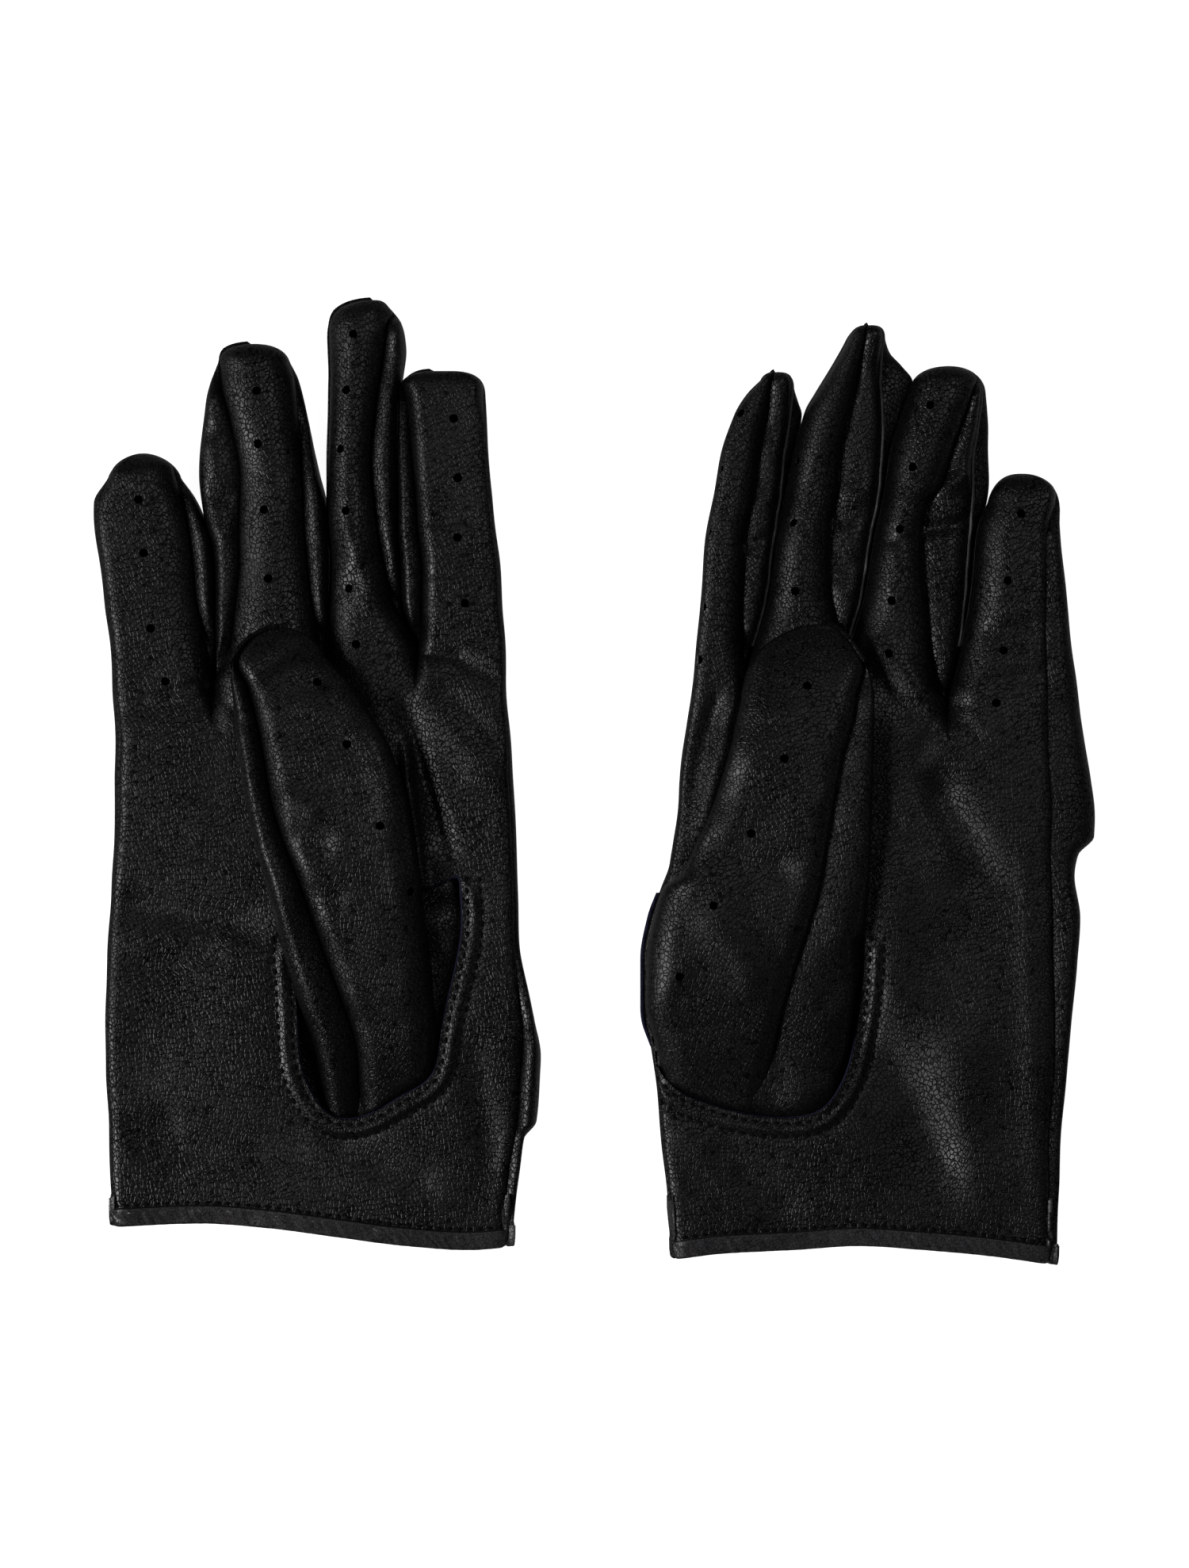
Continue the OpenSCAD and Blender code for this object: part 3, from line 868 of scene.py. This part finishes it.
def front_sheet(glove):
    """The palm and the four finger fronts, cut from one hide."""
    sheet = Sheet()
    m = across(FRONT_COLUMNS)
    for i, name in enumerate(glove.bands):
        low, high = hand_rows(glove), finger_rows(glove, i)
        rows = np.r_[low, high[1:]]
        grid = np.empty((len(rows), len(m), 3))
        for r, y in enumerate(rows):
            x, z = front_row(glove, i, y, m)
            grid[r] = points_at(x, fit_hem(glove, x, y), z)
        tags = ["palm"] * (len(low) - 1) + [name] * (len(high) - 1)
        sheet.grid(grid, tags)
    return sheet


def side_rows(glove, i, y, way, t):
    """Rows of the strip beside a finger, from its front seam out to its outline and under.

    Where the back's raw edge shows, the strip stops at it and the back's own row runs on from there.
    """
    left, left_seam, right_seam, right, raw = lines_at(glove, i, y)
    seam, reach = (right_seam, right) if way > 0 else (left_seam, left)
    inner = has_neighbour(glove, i, way)
    under = reach - way * TURN_UNDER * smooth((y - crotch_y(glove, i, way)) / 6)
    shows = abs(reach - seam)
    top = CROWN(y) - seam_drop(glove, i, way, y, shows)
    low = back_z(y) + LEATHER
    ridge = glove.ridge * smooth((shows - 1) / 4)
    lift = -1.6 * way * glove.thumb_way if inner else 0  # neighbours bulge at different heights
    if raw is None or way < 0:
        return [strip(seam, top, reach, under, low, t, ridge, lift)]
    ledge, below_ledge = raw_edge_z(top, low), -2.5
    return [strip(seam, top, raw, raw, ledge, t, ridge),
            strip(raw, ledge, reach, under, low, t, 0, below_ledge)]


def raw_edge_z(top, low):
    return low + 0.6 * (top - low)


def strip(seam, top, reach, under, low, t, ridge=0, lift=0, rise=TUBE_RISE, skew=0.8):
    """A strip from a seam out to its furthest reach and under: plainly bulged, or a tube beyond the seam.

    ridge runs from 0, plain, to 1, a tube. The tube's crest stands rise above the seam, further out the
    smaller skew is. lift raises the strip half way down.
    """
    out = reach - seam
    side = np.sign(out if abs(out) > 0.05 else reach - under)
    puff = 1.3 * min(abs(out) / 4, 1)
    plain_x = bezier(seam, bulge(seam, reach, under), under, t)
    plain_z = bezier(top, top * 0.75 + low * 0.25 + puff + lift, low, t)
    over = np.pi * np.clip(t / TUBE_SHARE, 0, 1)
    beneath = np.pi / 2 * np.clip((t - TUBE_SHARE) / (1 - TUBE_SHARE), 0, 1)
    crest, middle = top + rise, (top + low) * 0.5 + lift
    base = np.where(over < np.pi / 2, top, middle)
    tube_x = seam + out * ((1 - np.cos(over)) / 2) ** skew + (under - reach) * (1 - np.cos(beneath))
    tube_z = base + (crest - base) * np.sin(over) - (middle - low) * np.sin(beneath)
    x = plain_x + (tube_x - plain_x) * ridge
    z = plain_z + (tube_z - plain_z) * ridge
    far = np.argmax(side * (x - seam))
    hold = np.minimum(t / max(t[far], 1e-6), (1 - t) / max(1 - t[far], 1e-6) if far < len(t) - 1 else 1)
    return x + (reach - x[far]) * hold, z


def strips_beside(glove, i, way):
    """Grids of the strip beside a finger, one or two, and how many of their rows lie below the cut."""
    low = hand_rows(glove)
    low = low[low >= crotch_y(glove, i, way) - 1e-6]
    rows = np.r_[low, finger_rows(glove, i)[1:]]
    t = across(SIDE_COLUMNS)
    grids = None
    for r, y in enumerate(rows):
        made = side_rows(glove, i, y, way, t)
        if grids is None:
            grids = np.empty((len(made), len(rows), len(t), 3))
        for grid, (x, z) in zip(grids, made):
            x, z = shrink(glove, i, y, x, z)
            grid[r] = points_at(x, fit_hem(glove, x, y), z)
    return grids, len(low) - 1


def side_sheet(glove):
    """Fourchettes between the fingers, starting from their shared bases at the crotches."""
    sheet = Sheet()
    for i, name in enumerate(glove.bands):
        for way in (-1, 1):
            if not has_neighbour(glove, i, way):
                continue
            grids, low = strips_beside(glove, i, way)
            high = grids.shape[1] - 1 - low
            sheet.grid(grids[0], ["bases"] * low + [f"{name}{way:+d}"] * high, flip=way < 0)
            for grid in grids[1:]:
                sheet.grid(grid[: low + 1], "bases", flip=way < 0)
    return sheet


def sagging(left, right, columns):
    """A flat stretch of the back between two rims, sinking a little towards the table."""
    m = across(columns)[None, :, None]
    flat = left[:, None] + (right - left)[:, None] * m
    flat[..., 2] -= SAG * np.sin(np.pi * m[..., 0]) ** 0.5
    return flat


def back_sheet(glove):
    """The back of the hand with both its sides turned up, and the fingers' backs."""
    sheet = Sheet()
    rims = {}
    for i, way in ((0, -1), (len(glove.fingers) - 1, 1)):
        grids, low = strips_beside(glove, i, way)
        rims[way] = grids[0][:, -1]
        high = grids.shape[1] - 1 - low
        sheet.grid(grids[0], ["back"] * low + [glove.bands[i]] * high, flip=way < 0)
    rows = hand_rows(glove)
    flat = sagging(rims[-1][: len(rows)], rims[1][: len(rows)], BACK_COLUMNS)
    flat[..., 1] = fit_hem(glove, flat[..., 0], rows[:, None])
    sheet.grid(flat, "back", flip=True)
    for i, name in enumerate(glove.bands):
        ends = []
        for way in (-1, 1):
            grids, low = strips_beside(glove, i, way)
            ends.append(grids[-1][low:, -1])
            for grid in grids[1:]:
                sheet.grid(grid[low:], name)
        sheet.grid(sagging(*ends, FINGER_BACK_COLUMNS), name, flip=True)
    return sheet


def shape_up(glove, sheet):
    """Adds the folds and the slow unevenness, the same for every sheet so that seams stay closed."""
    for points in sheet.points:
        x, y, z = points.T.copy()
        upper = smooth((z - 4) / 5)  # the back on the table stays flat
        uneven = ripple(x, y, 0, 24, 3.1) * 0.5 + ripple(x, y, 0, 9, 7.7) * 0.09
        points[:, 2] += upper * (relief(glove, x, y) + uneven)
        points[:, 0] += 0.35 * ripple(0, y, 0, 14, 5.5 + len(glove.side))
    return sheet


def u_outline(glove, open_top=False):
    """The opening the thumb is sewn into. With open_top its arms run straight on up."""
    path = rounded_path(glove.mouth_hole)
    if open_top:
        return np.vstack([path, [(path[-1][0], 60), (path[0][0], 60)]])
    return np.vstack([path, glove.notch])


def rim_relief(glove, points):
    """The folded edge round the thumb's opening: raised between its two rows of stitches."""
    x, y, z = points.T
    path = spaced(rounded_path(glove.mouth_hole)[2:-2], 1)[0]
    away = np.full(len(x), 1e9)
    for px, py in path:
        away = np.minimum(away, np.hypot(x - px, y - py))
    outside = depth_inside(x, y, u_outline(glove, open_top=True)) < 0
    inner, outer = STITCH_ROWS
    pad = 0.55 * np.exp(-((away - 2.8) / 1.5) ** 2)
    rows = -0.4 * np.exp(-((away - outer) / 0.8) ** 2) - 0.35 * np.exp(-((away - inner) / 0.6) ** 2)
    points[:, 2] += np.where(outside & (z > 5), pad + rows, 0)


def build_hand(glove):
    side = glove.side
    hand = side + "_hand"
    front = shape_up(glove, front_sheet(glove))
    for points in front.points:
        rim_relief(glove, points)
    front.weld()
    lining = front.part("palm")
    for x, y in glove.air_holes:
        front.punch(x, y, AIR_HOLE)
    front.cut(u_outline(glove), low_z=5)
    make_leather(side + "_palm", front, "palm", hand, side + "_palm_panel")
    build_lining(glove, lining)
    sides = shape_up(glove, side_sheet(glove)).weld()
    make_leather(side + "_crotches", sides, "bases", hand, side + "_fourchette_bases")
    back = shape_up(glove, back_sheet(glove)).weld()
    cut_back(glove, back)
    make_leather(side + "_back", back, "back", hand, side + "_back_panel")
    make_leather(side + "_wrist_flap_leather", back, "flap", hand, side + "_wrist_flap")
    for i, name in enumerate(glove.bands):
        build_finger(glove, i, name, front, sides, back)
    return front, back


def make_leather(name, sheet, tag, body, node_name, blend_from=None):
    """One piece of leather from the faces with this tag."""
    make(name, thicken(*sheet.part(tag), LEATHER), HIDE, body, [node_name], blend_from)


def fold_span(glove, name):
    """The hand's name and two points on the finger's fold line: one where the finger's pieces start, one as
    far above the fold.
    """
    joint = JOINTS[f"{glove.side}_{name}_fold"]["pos_m"]
    start = (joint[0], CUT_Y * MM, joint[2])
    end = (joint[0], (2 * FOLD_Y - CUT_Y) * MM, joint[2])
    return glove.side + "_hand", start, end


def build_finger(glove, i, name, front, sides, back):
    body = f"{glove.side}_{name}"
    span = fold_span(glove, name)
    make_leather(f"{body}_front_leather", front, name, body, f"{body}_front", span)
    make_leather(f"{body}_back_leather", back, name, body, f"{body}_back", span)
    ways = [way for way in (-1, 1) if f"{name}{way:+d}" in sides.tags]
    for way in ways:
        part = body + "_fourchette"
        if len(ways) == 2:
            part = body + ("_inner" if way == glove.thumb_way else "_outer") + "_fourchette"
        make_leather(part + "_leather", sides, f"{name}{way:+d}", body, part, span)
    if glove.fingers[i].raw:
        make(f"{body}_raw_edge", raw_edge(glove, i), RAW_EDGE, body, (), span)


def raw_edge(glove, i):
    """The pale cut edge that stands up where a finger's back is sewn to its fourchette."""
    thick, tall = 0.45, 0.9
    across_edge = thick * np.array([-1, -1, -0.5, 0.5, 1, 1])
    up = 0.3 + tall * np.array([-1, 0, 1, 1, 0, -1])
    rows = finger_rows(glove, i)
    grid = np.empty((len(rows), len(up), 3))
    for r, y in enumerate(rows):
        _, _, seam, right, raw = lines_at(glove, i, y)
        ledge = raw_edge_z(CROWN(y) - seam_drop(glove, i, 1, y, right - seam), back_z(y) + LEATHER)
        x, z = shrink(glove, i, y, raw, ledge)
        x += 0.25 * noise.noise((y / 5, 3.3, i))
        grid[r] = points_at(x + across_edge, y, z + up)
    return shape_up(glove, lone_sheet(grid, "raw", flip=True)).weld().part("raw")


def build_lining(glove, palm):
    """Knit under the palm, showing as a thin line inside the thumb's opening."""
    end_y, gap, thick = 12, 0.1, 0.4
    points, normals, faces = palm
    sheet = Sheet()
    sheet.points = points - normals * (LEATHER + gap)
    sheet.normals = normals
    sheet.faces = faces[points[faces][:, :, 1].mean(1) < end_y]
    sheet.tags = np.full(len(sheet.faces), "lining")
    outline = u_outline(glove)
    middle = outline.mean(0)
    sheet.cut(middle + (outline - middle) * 0.985, low_z=4)
    knit = thicken(*sheet.part("lining"), thick)
    edge = lining_edge(glove, points)
    shape = joined([(knit[0], knit[2]), edge])
    make(glove.side + "_lining", shape, KNIT, glove.side + "_hand", [glove.side + "_palm_lining"])


def lining_edge(glove, palm):
    """The lining's own edge, showing as a fine line along the arm of the thumb's opening."""
    low_y = -66
    path = rounded_path(glove.mouth_hole)
    on_arm = path[:, 1] > low_y
    on_arm &= path[:, 0] * glove.thumb_way > path[:, 0].mean() * glove.thumb_way
    path = spaced(path[on_arm], 1)[0]
    if glove.thumb_way < 0:  # here the arm is the hand's own outline, and the edge shows a little beyond it
        outline = course(glove.fingers[0].left)(path[:, 1])
        shown = smooth((path[:, 1] - low_y) / 8)
        path[:, 0] = np.maximum(path[:, 0], outline + 0.6 - 0.9 * shown)
    tree = flat_tree(palm)
    inward = -glove.thumb_way
    section = (-0.4, -0.5), (0.15, -0.75), (0.5, -1.6)
    grid = np.empty((len(path), len(section), 3))
    for r, (x, y) in enumerate(path):
        z = palm[tree.find((x, y, 0))[1]][2]
        grid[r] = [(x + inward * out, y, z + up) for out, up in section]
    sheet = lone_sheet(grid, "edge", flip=inward < 0).weld()
    points, _, faces = thicken(*sheet.part("edge"), 0.3)
    return points, faces


def cut_back(glove, back):
    """The half-moon, knuckle holes and wrist slit, which leaves the flap on the little-finger side."""
    way = glove.thumb_way
    middle = -70 if way > 0 else 68  # x of the line that the half-moon and the slit are measured from
    slit_x, slit_top, slit_end = -8, -40, -130
    hole_y, hole, flap_y = 8, 6, -24
    turn = np.linspace(0, 2 * np.pi, 24, endpoint=False)
    for name in glove.bands:
        centre_x = JOINTS[f"{glove.side}_{name}_fold"]["pos_m"][0] / MM
        back.cut(np.stack([centre_x + hole * np.cos(turn), hole_y + hole * np.sin(turn)], -1), high_z=3)
    moon = rounded_path([(-62, -14), (-40, -12), (-15, -8.5), (12, -10), (30, -18), (34, -27), (24, -38),
                         (0, -45), (-25, -42), (-45, -35), (-62, -33)])
    slit = np.array([(slit_x - 1, slit_top), (slit_x + 1, slit_top),
                     (slit_x + 1, slit_end), (slit_x - 1, slit_end)])
    for outline, high_z in ((moon, 5.2), (slit, 8)):
        back.cut(np.stack([middle + way * outline[:, 0], outline[:, 1]], -1), high_z=high_z)
    at = back.middles()
    flap = (back.tags == "back") & ((at[:, 0] - middle) * way < slit_x) & (at[:, 1] < flap_y)
    back.tags = np.where(flap, "flap", back.tags)


# ---- the thumbs ----


def tuck(glove, points):
    """Presses the thumb's lower end under the edge of its opening, puffing up away from the edge."""
    x, y, z = points.T
    tube = glove.thumb_way > 0  # this glove's gusset is tube-like, and lies free further down
    depth = depth_inside(x, y, u_outline(glove, open_top=True))
    if not tube:  # at the hand's own edge there is nothing to tuck it under
        depth += 8 * smooth((22 - x) / 8) * smooth((y + 78) / 14)
    middle = (course(glove.thumb.gusset)(y) + course(glove.thumb.edge)(y)) / 2
    on_gusset = smooth((middle - x) * glove.thumb_way / 4 + 0.5)
    free_above = -26 - (32 if tube else 14) * on_gusset
    free = 30 * smooth((y - free_above) / 14)
    rise = 12 - 7 * on_gusset * tube
    limit = CROWN(y) - 2 + 26 * (1 - np.exp(-np.maximum(depth, 0) / rise)) + free
    soft = 0.5
    pressed = -soft * np.logaddexp(-z / soft, -limit / soft)
    # The tube keeps its round section as it is squeezed down
    base = CROWN(y) - 6
    squeeze = np.clip((limit - base) / (course(glove.thumb.top)(y) - base), 0.2, 1)
    squeezed = np.where(z > base, base + (z - base) * squeeze, z)
    pressed += (squeezed - pressed) * on_gusset * tube
    points[:, 2] = np.where(y < -5, pressed, z)


def thumb_section(glove, y, t):
    """One row of the thumb as x and z for its front, gusset and underside."""
    thumb = glove.thumb
    way = -glove.thumb_way  # the gusset faces the fingers' far side
    gusset, seam, edge = (course(line)(y) for line in (thumb.gusset, thumb.seam, thumb.edge))
    top = course(thumb.top)(y)
    low = 14.6 - 6.2 * smooth((-12 - y) / 34)
    u, scale, shift = closed_tip(thumb.tip, y)
    centre = (gusset + edge) / 2 + shift
    mid = (top + low) / 2
    seam += (gusset - seam) * smooth(u / 0.6)
    # Front: from the gusset's seam over the crown and down to the far edge
    wide = abs(edge - seam)
    x = seam + (edge - seam) * t["front"]
    seam_deep, edge_deep = 3 + 1.6 * glove.ridge, (top - low) * 0.5
    z = (top - seam_deep * roll(abs(x - seam) / min(5, wide / 3))
         - edge_deep * roll(abs(edge - x) / min(7, wide * 0.6)))
    # Gusset: puffed out from the seam and turned under
    under = gusset - way * TURN_UNDER
    rim = low + 0.4
    gusset_row = strip(seam, top - seam_deep, gusset, under, rim, t["gusset"], glove.ridge, 0, 3.6, 0.7)
    # Underside: back from the gusset to the far edge
    turn = edge + way * TURN_UNDER
    under_x = np.r_[under + (turn - under) * t["under"], bezier(turn, edge - way * 0.6, edge, t["turn"])[1:]]
    under_z = np.r_[rim - 0.4 * np.sin(np.pi * t["under"]) ** 0.5,
                    bezier(rim, low + 1.2, top - edge_deep, t["turn"])[1:]]
    rows = (x, z), gusset_row, (under_x, under_z)
    return [(centre + (rx - centre) * scale, mid + (rz - mid) * scale ** 0.5) for rx, rz in rows]


def build_thumb(glove):
    t = {"front": across(40), "gusset": across(22), "under": across(24), "turn": across(8)}
    parts = [[], [], []]
    for y in tip_rows(THUMB_LOW_Y, glove.thumb.tip):
        for part, (x, z) in zip(parts, thumb_section(glove, y, t)):
            part.append(points_at(x, y, z))
    mirrored = glove.thumb_way < 0
    front, back = Sheet(), Sheet()
    front.grid(np.array(parts[0]), "thumb", flip=mirrored)
    for part in parts[1:]:
        back.grid(np.array(part), "thumb", flip=not mirrored)
    for points in front.points + back.points:
        x, y, z = points.T.copy()
        raised = smooth((z - 16) / 4)
        uneven = ripple(x, y, 0, 20, 12.3) * 0.5 + ripple(x, y, 0, 8, 2.2) * 0.2
        points[:, 2] += raised * (relief(glove, x, y) + uneven)
        points[:, 0] += 0.3 * ripple(0, y, z, 12, 8.8)
        tuck(glove, points)
    front.weld()
    back.weld()
    for x, y in glove.thumb.holes:
        front.punch(x, y, AIR_HOLE)
    half_bend = 22 * MM  # how far the span reaches on either side of the joint
    joint = Vector(JOINTS[glove.side + "_thumb_lift"]["pos_m"])
    along = Vector((-glove.thumb_way * 0.2, 1, 0)).normalized()
    span = (glove.side + "_hand", joint - along * half_bend, joint + along * half_bend)
    body = glove.side + "_thumb"
    make_leather(body + "_front_leather", front, "thumb", body, body + "_front", span)
    make_leather(body + "_back_leather", back, "thumb", body, body + "_back", span)


def build_thumb_root(glove):
    """The thumb's leather where it spreads out under the edge of the palm."""
    margin, end_y = 4, -19
    outline = u_outline(glove, open_top=True)
    low, high = outline.min(0) - margin, outline.max(0) + margin
    x, y = np.meshgrid(np.arange(low[0], high[0], STEP), np.arange(low[1], end_y, STEP))
    depth = depth_inside(x, y, outline)
    if glove.thumb_way > 0:  # nothing of it may stand above the tube-like gusset
        hollow = 7 * smooth((x + 77) / 3) * smooth((-46 - x) / 5) * smooth((y + 85) / 3)
    else:
        hollow = 6 * np.exp(-((x - 64) / 3.6) ** 2) * smooth((y + 80) / 8)
    hollow *= smooth((-30 - y) / 12)
    z = CROWN(y) - 2.3 + 2.6 * (1 - np.exp(-np.maximum(depth, 0) / 2.2)) - hollow * (depth > -2)
    if glove.thumb_way > 0:  # below the notch it lies deeper than the palm's edge
        z -= 3 * smooth((y + 36) / 12)
    z += 0.4 * ripple(x, y, 0, 7, 4.4)
    sheet = lone_sheet(points_at(x, y, z), "root").weld()
    middle = sheet.middles()
    rim = course(glove.fingers[0].left)(middle[:, 1]) + 1.2
    sheet.keep((depth_inside(middle[:, 0], middle[:, 1], outline) > -3) & (middle[:, 0] > rim))
    node_name = glove.side + "_thumb_root"
    make_leather(node_name + "_leather", sheet, "root", glove.side + "_hand", node_name)


# ---- the bound mouth ----


def build_binding(glove, front, back):
    """A strip of leather folded over the mouth's edge all the way round."""
    top = mouth_line(front, "palm")
    low = mouth_line(back, ("back", "flap"))
    pitch = 0.55
    points, _ = spaced(np.vstack([top, low[::-1]]), pitch, closed=True)
    for _ in range(6):
        points = (np.roll(points, 1, 0) + points * 2 + np.roll(points, -1, 0)) / 4
    ahead = np.roll(points, -1, 0) - np.roll(points, 1, 0)
    out = points_at(-ahead[:, 2], 0, ahead[:, 0])
    out /= np.linalg.norm(out, axis=1, keepdims=True)
    facing = abs(out[:, 2])  # 1 on the palm and the back, 0 at the hand's two sides
    wide, thick = 4.3, 1.25
    # The section runs from under the palm's edge round the mouth and back up inside
    turn = np.linspace(-0.1, 1, 15) * np.pi / 2
    section = [(-0.7, 0.6)] + [(thick * np.cos(a - 0.25) * 0.9, -wide * (1 - np.cos(a))) for a in turn]
    section += [(-1.3, -wide * 0.9), (-1.7, -wide * 0.5), (-1.8, 1)]
    along = np.arange(len(points)) * pitch
    grid = np.empty((len(points) + 1, len(section), 3))
    for k, (away, down) in enumerate(section):
        pucker = 0.28 * ripple(along + down * 0.9, down * 0.4, 0, 1.3, 20.5 + len(glove.side))
        puffed = away * (0.3 + 0.7 * facing) + pucker * (down < -0.8) * (away > -0.5)
        grid[:-1, k] = points + out * puffed[:, None] + np.array([0, down, 0])
        grid[:-1, k, 1] -= 1.1 * (1 - facing) * (down > -2)
    grid[-1] = grid[0]
    sheet = lone_sheet(grid, "hem").weld()
    # The binding's lighter colour is painted light on its roll.
    make(glove.side + "_mouth_binding", sheet.part("hem"), BINDING_PAINTED_LIGHT, glove.side + "_hand",
         [glove.side + "_hem_binding"])


def mouth_line(sheet, tags):
    """The sheet's lowest edge, from left to right."""
    count = Counter(tuple(sorted(pair)) for pair in sides_of(sheet.faces[np.isin(sheet.tags, tags)]))
    line = sheet.points[np.unique([i for pair, n in count.items() if n == 1 for i in pair])]
    line = line[line[:, 1] < -100]
    return line[np.argsort(line[:, 0])]


# ---- stitches, strap and snap ----


def sew(path, surface, pitch=STITCH, long=1.75, fat=0.48):
    """Threads lying in a row along a path on a surface, each a small bead drawn out along the row."""
    off_the_surface = 0.7
    upper = surface.normals[:, 2] > 0.2
    points, normals = surface.points[upper], surface.normals[upper]
    tree = flat_tree(points)
    shapes = []
    for (x, y), (dx, dy) in zip(*spaced(path, pitch)):
        _, k, far = tree.find((x, y, 0))
        if far > off_the_surface:
            continue
        normal = Vector(normals[k])
        along = Vector((dx, dy, 0))
        along = (along - normal * along.dot(normal)).normalized()
        shapes.append(bead(Vector((x, y, points[k][2])), along, normal, long, fat))
    return shapes


def bead(centre, along, normal, long, fat, rings=5, sides=6):
    """One stitch: points and faces of rings strung along it, flattened towards the surface."""
    cross = normal.cross(along)
    points = []
    for ring in range(rings):
        u = ring / (rings - 1) * 2 - 1
        girth = fat * math.sqrt(max(1 - u * u, 0.02))
        for side in range(sides):
            a = side / sides * 2 * math.pi
            points.append(centre + along * u * long / 2 + cross * girth * math.cos(a)
                          + normal * (girth * math.sin(a) * 0.7 + 0.1 * (1 - u * u)))
    faces = []
    for low in range(0, (rings - 1) * sides, sides):
        for side in range(sides):
            b = (side + 1) % sides
            faces.append((low + side, low + b, low + sides + b, low + sides + side))
    return np.array([tuple(p) for p in points]), np.array(faces)


def offset_path(path, away):
    way = np.gradient(path, axis=0)
    way /= np.linalg.norm(way, axis=1, keepdims=True)
    return path + np.stack([-way[:, 1], way[:, 0]], -1) * away


def build_stitches(glove, front):
    path = rounded_path(glove.mouth_hole)
    shapes = []
    for away in STITCH_ROWS:
        shapes += sew(offset_path(path, -away), front)
    hem = course(glove.hem)
    xs = np.linspace(glove.hem[0][0] + 1, glove.hem[-1][0] - 1, 60)
    shapes += sew(np.stack([xs, hem(xs) + 0.8], -1), front, pitch=2.4, long=1.6, fat=0.45)
    make(glove.side + "_palm_stitches", joined(shapes), THREAD, glove.side + "_hand")


def build_strip(glove, part, body):
    """A flat strip that fills its node's box, from the strap's fold at the thumb side to its free end."""
    node_name = f"{glove.side}_{part}"
    low, high = (np.array(corner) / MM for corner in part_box(node_name))
    way = glove.thumb_way
    fold_x, free_x = (high[0], low[0]) if way > 0 else (low[0], high[0])
    middle_y, half = (low[1] + high[1]) / 2, (high[1] - low[1]) / 2
    straight = np.linspace(half, abs(fold_x - free_x), 60)
    v = across(16) * 2 - 1
    if part == "strap":  # its free end is round, and the base is square
        u = np.unique(np.r_[np.linspace(0, half, 14) ** 2 / half, straight])
        width = half * np.sqrt(np.clip(1 - (1 - np.clip(u / half, 0, 1)) ** 2, 0.0, 1))
    else:
        u = np.r_[0, straight]
        width = np.full(len(u), half)
    u = u[:, None]
    thick = min(high[2] - low[2], 1.4)
    z = high[2] - 0.1 - 0.15 * v ** 6 - 0.12 * np.sin(u / 7) * (1 - v ** 2)
    grid = points_at(free_x + way * u, middle_y + width[:, None] * v, z)
    sheet = lone_sheet(grid, "strap", flip=way > 0).weld()
    shape = thicken(*sheet.part("strap"), thick - 0.2)
    make(node_name + "_leather", shape, HIDE, body, [node_name])


def colour_snap(glove):
    for name in ("snap_cap", "snap_socket", "snap_stud", "snap_post"):
        materials = frame["nodes"][f"{glove.side}_{name}"].data.materials
        materials.clear()
        materials.append(NICKEL)


def build_glove(glove):
    front, back = build_hand(glove)
    build_thumb(glove)
    build_thumb_root(glove)
    build_binding(glove, front, back)
    build_stitches(glove, front)
    build_strip(glove, "strap", glove.side + "_strap")
    build_strip(glove, "strap_base", glove.side + "_hand")
    colour_snap(glove)


build_glove(RIGHT)
build_glove(LEFT)


# ---- the studio ----


def build_floor():
    mesh = bpy.data.meshes.new("floor")
    half = 3
    corners = [(x * half, y * half, 0) for x, y in ((-1, -1), (1, -1), (1, 1), (-1, 1))]
    mesh.from_pydata(corners, [], [(0, 1, 2, 3)])
    material, tree, shader = new_material("white_floor")
    feed(tree, shader, {
        "Base Color": (0.8, 0.8, 0.8, 1),
        "Roughness": 0.9,
        "Emission Color": (1, 1, 1, 1),
        "Emission Strength": 0.97,
    })
    mesh.materials.append(material)
    floor = place_new("floor", mesh)
    floor.visible_glossy = False
    floor.visible_diffuse = False


def light(name, place, aim, size, power):
    lamp = bpy.data.lights.new(name, "AREA")
    lamp.shape = "RECTANGLE"
    lamp.size, lamp.size_y = size
    lamp.energy = power
    made = place_new(name, lamp)
    made.location = place
    made.rotation_euler = (Vector(aim) - Vector(place)).to_track_quat("-Z", "Y").to_euler()


def build_camera():
    """Straight down over the pair."""
    covers = 0.3804  # what the picture's long side takes in at the gloves' height
    height = 1.2
    glove_height = 0.015
    camera = bpy.data.cameras.new("camera")
    camera.sensor_width = 36
    camera.lens = camera.sensor_width * (height - glove_height) / covers
    made = place_new("camera", camera)
    made.location = (-0.0005, -0.0006, height)
    bpy.context.scene.camera = made


def build_studio():
    build_floor()
    light("key", (-1.9, -0.5, 2.1), (0, 0, 0), (0.9, 0.9), 40)
    light("overhead", (1.0, 0.8, 2.3), (0, 0, 0), (0.8, 0.8), 5)
    light("left", (-1.7, 0.3, 0.8), (0, 0, 0), (0.4, 1.2), 2)
    world = bpy.data.worlds.new("studio")
    world.use_nodes = True
    tree = world.node_tree
    direction = node(tree, "TexCoord", {}).outputs["Generated"]
    up = node(tree, "SeparateXYZ", {"Vector": direction}).outputs["Z"]
    strength = ramp(tree, up, 0.0, 0.45, 0.16, 0.01)  # bright round the horizon, dark overhead
    feed(tree, tree.nodes["Background"], {"Color": (1, 1, 1, 1), "Strength": strength})
    bpy.context.scene.world = world
    bpy.context.scene.view_settings.view_transform = "Standard"


build_studio()
build_camera()
